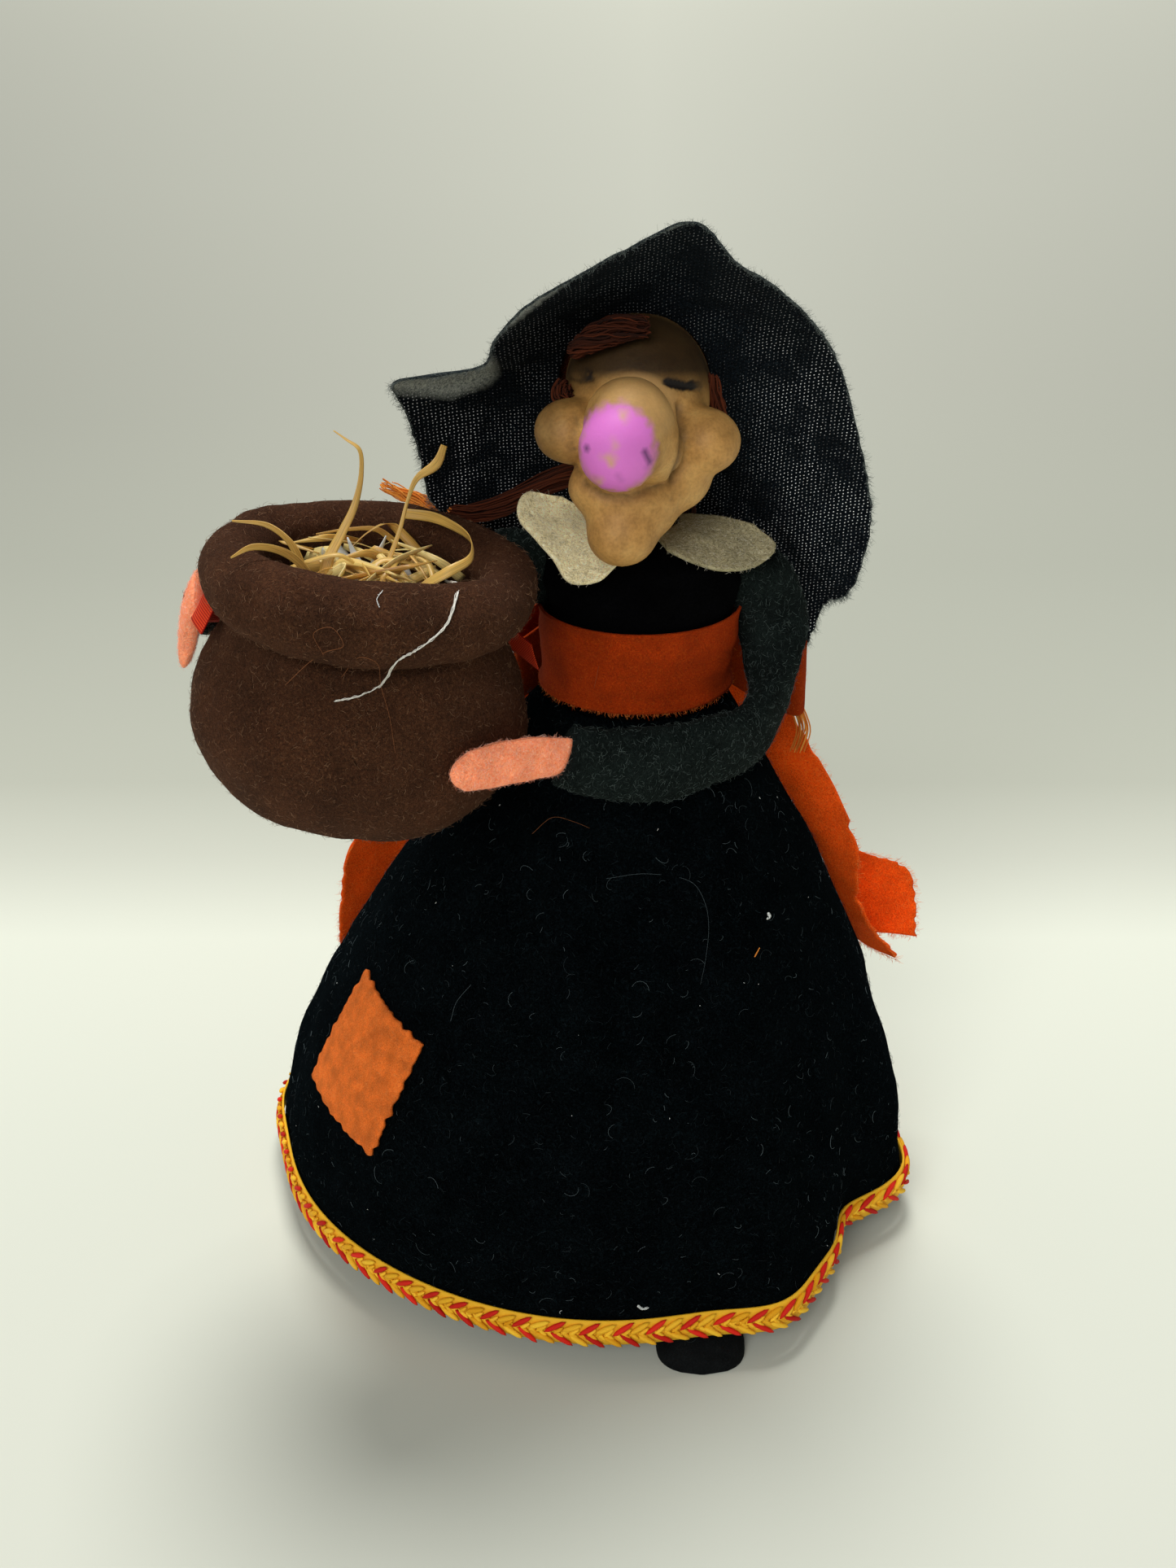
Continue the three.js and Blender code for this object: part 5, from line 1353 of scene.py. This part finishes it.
def strawSurface(points, widths, wide, twist):
    line = smoothPath(points)

    def at(u, v):
        tangent = directionAt(line, v, 0.01)
        flat = unit(np.array(wide, float) - tangent * (tangent @ np.array(wide, float))[:, None])
        face = np.cross(tangent, flat)
        turn = twist * v[:, None]
        side = flat * np.cos(turn) + face * np.sin(turn)
        narrow = np.interp(v, np.linspace(0, 1, len(widths)), widths)
        curl = face * ((u - 0.5) ** 2 * 0.4)[:, None]
        return line(v) + side * ((u - 0.5) * narrow)[:, None] + curl
    return at


for number, (node, (widths, points)) in enumerate(straw.items()):
    wide = (1.0, -0.1, 0.1) if number < 2 else (0.1, 0.2, 1.0)
    addCloth(node + "_strip", strawSurface(potPoints(points), widths, wide, 0.9), (5, 70), (max(widths), 50),
             [dryStraw], "straw", node, "arms", wall=(0.14, 0.0))


# Short strips joined in one piece, each with its surface, grid and size
def addStrips(name, strips, wall, material, slotName, node=None):
    bundle = bmesh.new()
    for strip in strips:
        mesh = clothMesh("strip", *strip)
        bundle.from_mesh(mesh)
        bpy.data.meshes.remove(mesh)
    thicken(addPiece(name, finishMesh(name, bundle), "arms", [material], slotName, node), wall, 0.0)


def nestStrips():
    rng = np.random.default_rng(91)
    for _ in range(52):
        turn = rng.uniform(0, 2 * math.pi)
        reach = 22.0 * math.sqrt(rng.uniform(0.02, 1))
        start = np.array([reach * math.cos(turn), reach * math.sin(turn), rng.uniform(50, 55)])
        other = turn + rng.uniform(0.7, 2.6)
        far = rng.uniform(5, 21)
        end = np.array([far * math.cos(other), far * math.sin(other), rng.uniform(51, 60)])
        middle = (start + end) * [0.4, 0.4, 0.5] + np.array([*rng.normal(0, 4, 2), rng.uniform(1, 5)])
        width = rng.uniform(1.3, 2.8)
        path = potPoints(traced([start, middle, end], 5))
        widths = [width, width, width * 0.6, 0.3]
        yield strawSurface(path, widths, rng.normal(size=3), rng.uniform(-1.5, 1.5)), (2, 14), (width, 30)


# Shreds of milky film that stand between the straws
def filmShreds():
    rng = np.random.default_rng(93)
    for x, y, width in ((-11, 3, 3.2), (-6, 6, 4.6), (-3, 2, 3.6), (1, 7, 3), (8, 4, 3.2)):
        foot = np.array([x, y, 49.0])
        bend = foot + [rng.uniform(-1, 1), 0.5, 5]
        path = potPoints([foot, bend, foot + [*rng.uniform(-3, 3, 2), rng.uniform(8, 12)]])
        yield strawSurface(path, [width, width, width * 0.7, 0.4], (1, 0.3, 0), 0.7), (4, 12), (4, 10)


addStrips("straw_nest_strips", nestStrips(), 0.12, dryStraw, "straw", "straw_nest")
addStrips("nest_film", filmShreds(), 0.1, milkyFilm, "wadding")
print("straw made")


# Loose thread and stray hairs, in the photograph's pixels
def addStray(name, piece, slotName, material, thickness, pixels, plies=1):
    rng = np.random.default_rng(len(name))
    t = np.linspace(0, 1, 12 * len(pixels))
    line = smoothPath(showingAt(piece, pixels, 0.4))(t)
    paths = []
    for ply in range(plies):
        spread = rng.normal(size=3) * 0.14 * (ply > 0)
        wander = stack(*[ripple(stack(t * 30, ply * 7.0, axis), 1.0, 3.0) for axis in (0.0, 5.0, 9.0)])
        paths.append(line + spread + wander * 0.35 * (ply > 0))
    addStrands(name, paths, thickness, body_of(piece)[0], material, slotName, 0.7)


strays = [
    ("loose_thread", cauldron, "wadding", threadCotton, 0.16, [
        (549, 712), (560, 733), (547, 768), (520, 792), (489, 810), (466, 843), (440, 856), (412, 862)], 7),
    ("pot_hair_loop", cauldron, "rust_yarn", flyaway, 0.1, [
        (352, 842), (380, 812), (402, 800), (422, 792), (408, 771), (387, 779), (398, 803)]),
    ("pot_hair_long", cauldron, "rust_yarn", flyaway, 0.09, [
        (420, 832), (444, 806), (462, 812), (468, 845), (478, 880), (485, 925)]),
    ("pot_fluff_rim", cauldron, "wadding", whiteFibre, 0.12, [(470, 728), (463, 738), (466, 748)], 2),
    ("sash_hair", sashPiece, "rust_yarn", flyaway, 0.08, [(741, 775), (736, 820), (731, 845)]),
    ("skirt_hair_long", skirt, "black_felt", lintDust, 0.06, [
        (745, 1080), (795, 1074), (850, 1085), (866, 1112), (870, 1140), (866, 1180), (860, 1210)]),
    ("skirt_hair_left", skirt, "black_felt", lintDust, 0.08, [(555, 1255), (562, 1232), (580, 1210)]),
    ("skirt_hair_waist", skirt, "rust_yarn", flyaway, 0.08, [
        (655, 1025), (680, 1005), (705, 1010), (725, 1018)]),
    ("skirt_fluff_right", skirt, "black_felt", whiteFibre, 0.5, [(943, 1122), (945, 1126), (942, 1129)], 3),
    ("skirt_fluff_low", skirt, "black_felt", whiteFibre, 0.3, [(784, 1604), (790, 1608), (795, 1606)], 4),
    ("skirt_straw_bit", skirt, "straw", litYarn, 0.35, [(926, 1176), (932, 1165)]),
]
for stray in strays:
    addStray(*stray)

# Frayed yarn where the right loop turns into its tail
frayed = {"line": [(50.2, 18.6, 134.5), (52.4, 18.6, 129.5), (54.6, 18.4, 123), (53.2, 18.2, 117)],
          "spread": [0.9, 0.6, 0.7], "count": 16}
frayedRoots = np.random.default_rng(97).normal(size=(frayed["count"], 3)) * frayed["spread"]
frayedPaths = [traced(frayed["line"], 14) + root for root in frayedRoots]
addStrands("bow_frayed_yarn", frayedPaths, 0.42, "figure", litYarn, "orange_velvet", 0.6)

# Kept CAD pieces get their real materials.
for node, material in (("base_board", boardCard), ("body_cone", boardCard), ("neck_peg", makeBeech()),
                       ("arm_wire", makeWire())):
    frame["nodes"][node].data.materials.clear()
    frame["nodes"][node].data.materials.append(material)
print("kept pieces finished")


# Floor, light and camera
def addFloor():
    bm = bmesh.new()
    bmesh.ops.create_grid(bm, x_segments=1, y_segments=1, size=8.0)
    bmesh.ops.translate(bm, verts=bm.verts, vec=(0, 3, -0.0002))
    mesh = finishMesh("studio_floor", bm)
    addObject("studio_floor", mesh)
    # Paper that runs back from the figure, its tones painted for the light that falls on it: palest just
    # behind it, then a little darker
    material, tree = startMaterial("studio paper")
    coords = addNode(tree, "TexCoord", {}, "Object")
    x, y = (addNode(tree, "SeparateXYZ", {"Vector": coords}, axis) for axis in "XY")
    depth = addNode(tree, "MapRange", {"From Min": -0.4, "From Max": 3.2, "Value": y})
    tone = addNode(tree, "ValToRGB", {"Fac": depth, "stops": [
        (0.0, "#cfd1c4"), (0.06, "#cdcfc2"), (0.105, "#d4d7c9"), (0.145, "#dcdfd0"), (0.159, "#c7c9bb"),
        (0.176, "#b5b7a9"), (0.24, "#abada0"), (0.33, "#acada1"), (0.5, "#b2b3a7"), (1.0, "#bcbdb0")]})
    # Far back it is painted palest in the middle and darker to both sides, as a pool of light.
    far = addNode(tree, "MapRange", {"From Min": 0.15, "From Max": 0.7, "Value": y})
    away = addNode(tree, "Math", {"operation": "MULTIPLY_ADD", 0: y, 1: 0.893, 2: 0.552})
    side = addNode(tree, "Math", {"operation": "DIVIDE", 0: x, 1: away})
    across = addNode(tree, "MapRange", {"From Min": -0.29, "From Max": 0.29, "Value": side})
    fall = addNode(tree, "ValToRGB", {"Fac": across, "stops": [(0.0, 0.84), (0.3, 0.98), (0.55, 1.12),
                                                               (0.75, 1.02), (1.0, 0.94)]})
    backTone = addNode(tree, "MixRGB", {"blend_type": "MULTIPLY", "Fac": 1.0, "Color1": tone, "Color2": fall})
    colour = addNode(tree, "MixRGB", {"Fac": far, "Color1": tone, "Color2": backTone})
    mesh.materials.append(finishMaterial(material, {"Roughness": 0.9, "Specular IOR Level": 0.1,
                                                    "Base Color": colour}))


def addLights():
    world = bpy.data.worlds.new("soft studio")
    bpy.context.scene.world = world
    world.use_nodes = True
    background = world.node_tree.nodes["Background"]
    background.inputs["Color"].default_value = linear("#f4f6f2")
    background.inputs["Strength"].default_value = 0.27
    for name, turn, strength, angle in (("key", (-0.36, -0.03, 0), 2.55, 24),
                                        ("front", (0.95, -0.46, 0), 1.5, 34)):
        lamp = bpy.data.lights.new(name, "SUN")
        lamp.energy = strength
        lamp.angle = math.radians(angle)
        addObject(name, lamp).rotation_euler = turn


def addCamera():
    camera = addObject("photo_camera", bpy.data.cameras.new("photo_camera"))
    camera.data.lens = photo["lens"]
    camera.data.sensor_width = 36
    camera.location = Vector(photo["place"]) * mm
    camera.rotation_euler = (math.radians(90 - photo["pitch"]), 0, 0)
    camera.data.clip_start = 0.01
    bpy.context.scene.camera = camera


addFloor()
addLights()
addCamera()
bpy.context.scene.view_settings.view_transform = "Standard"
bpy.context.view_layer.update()
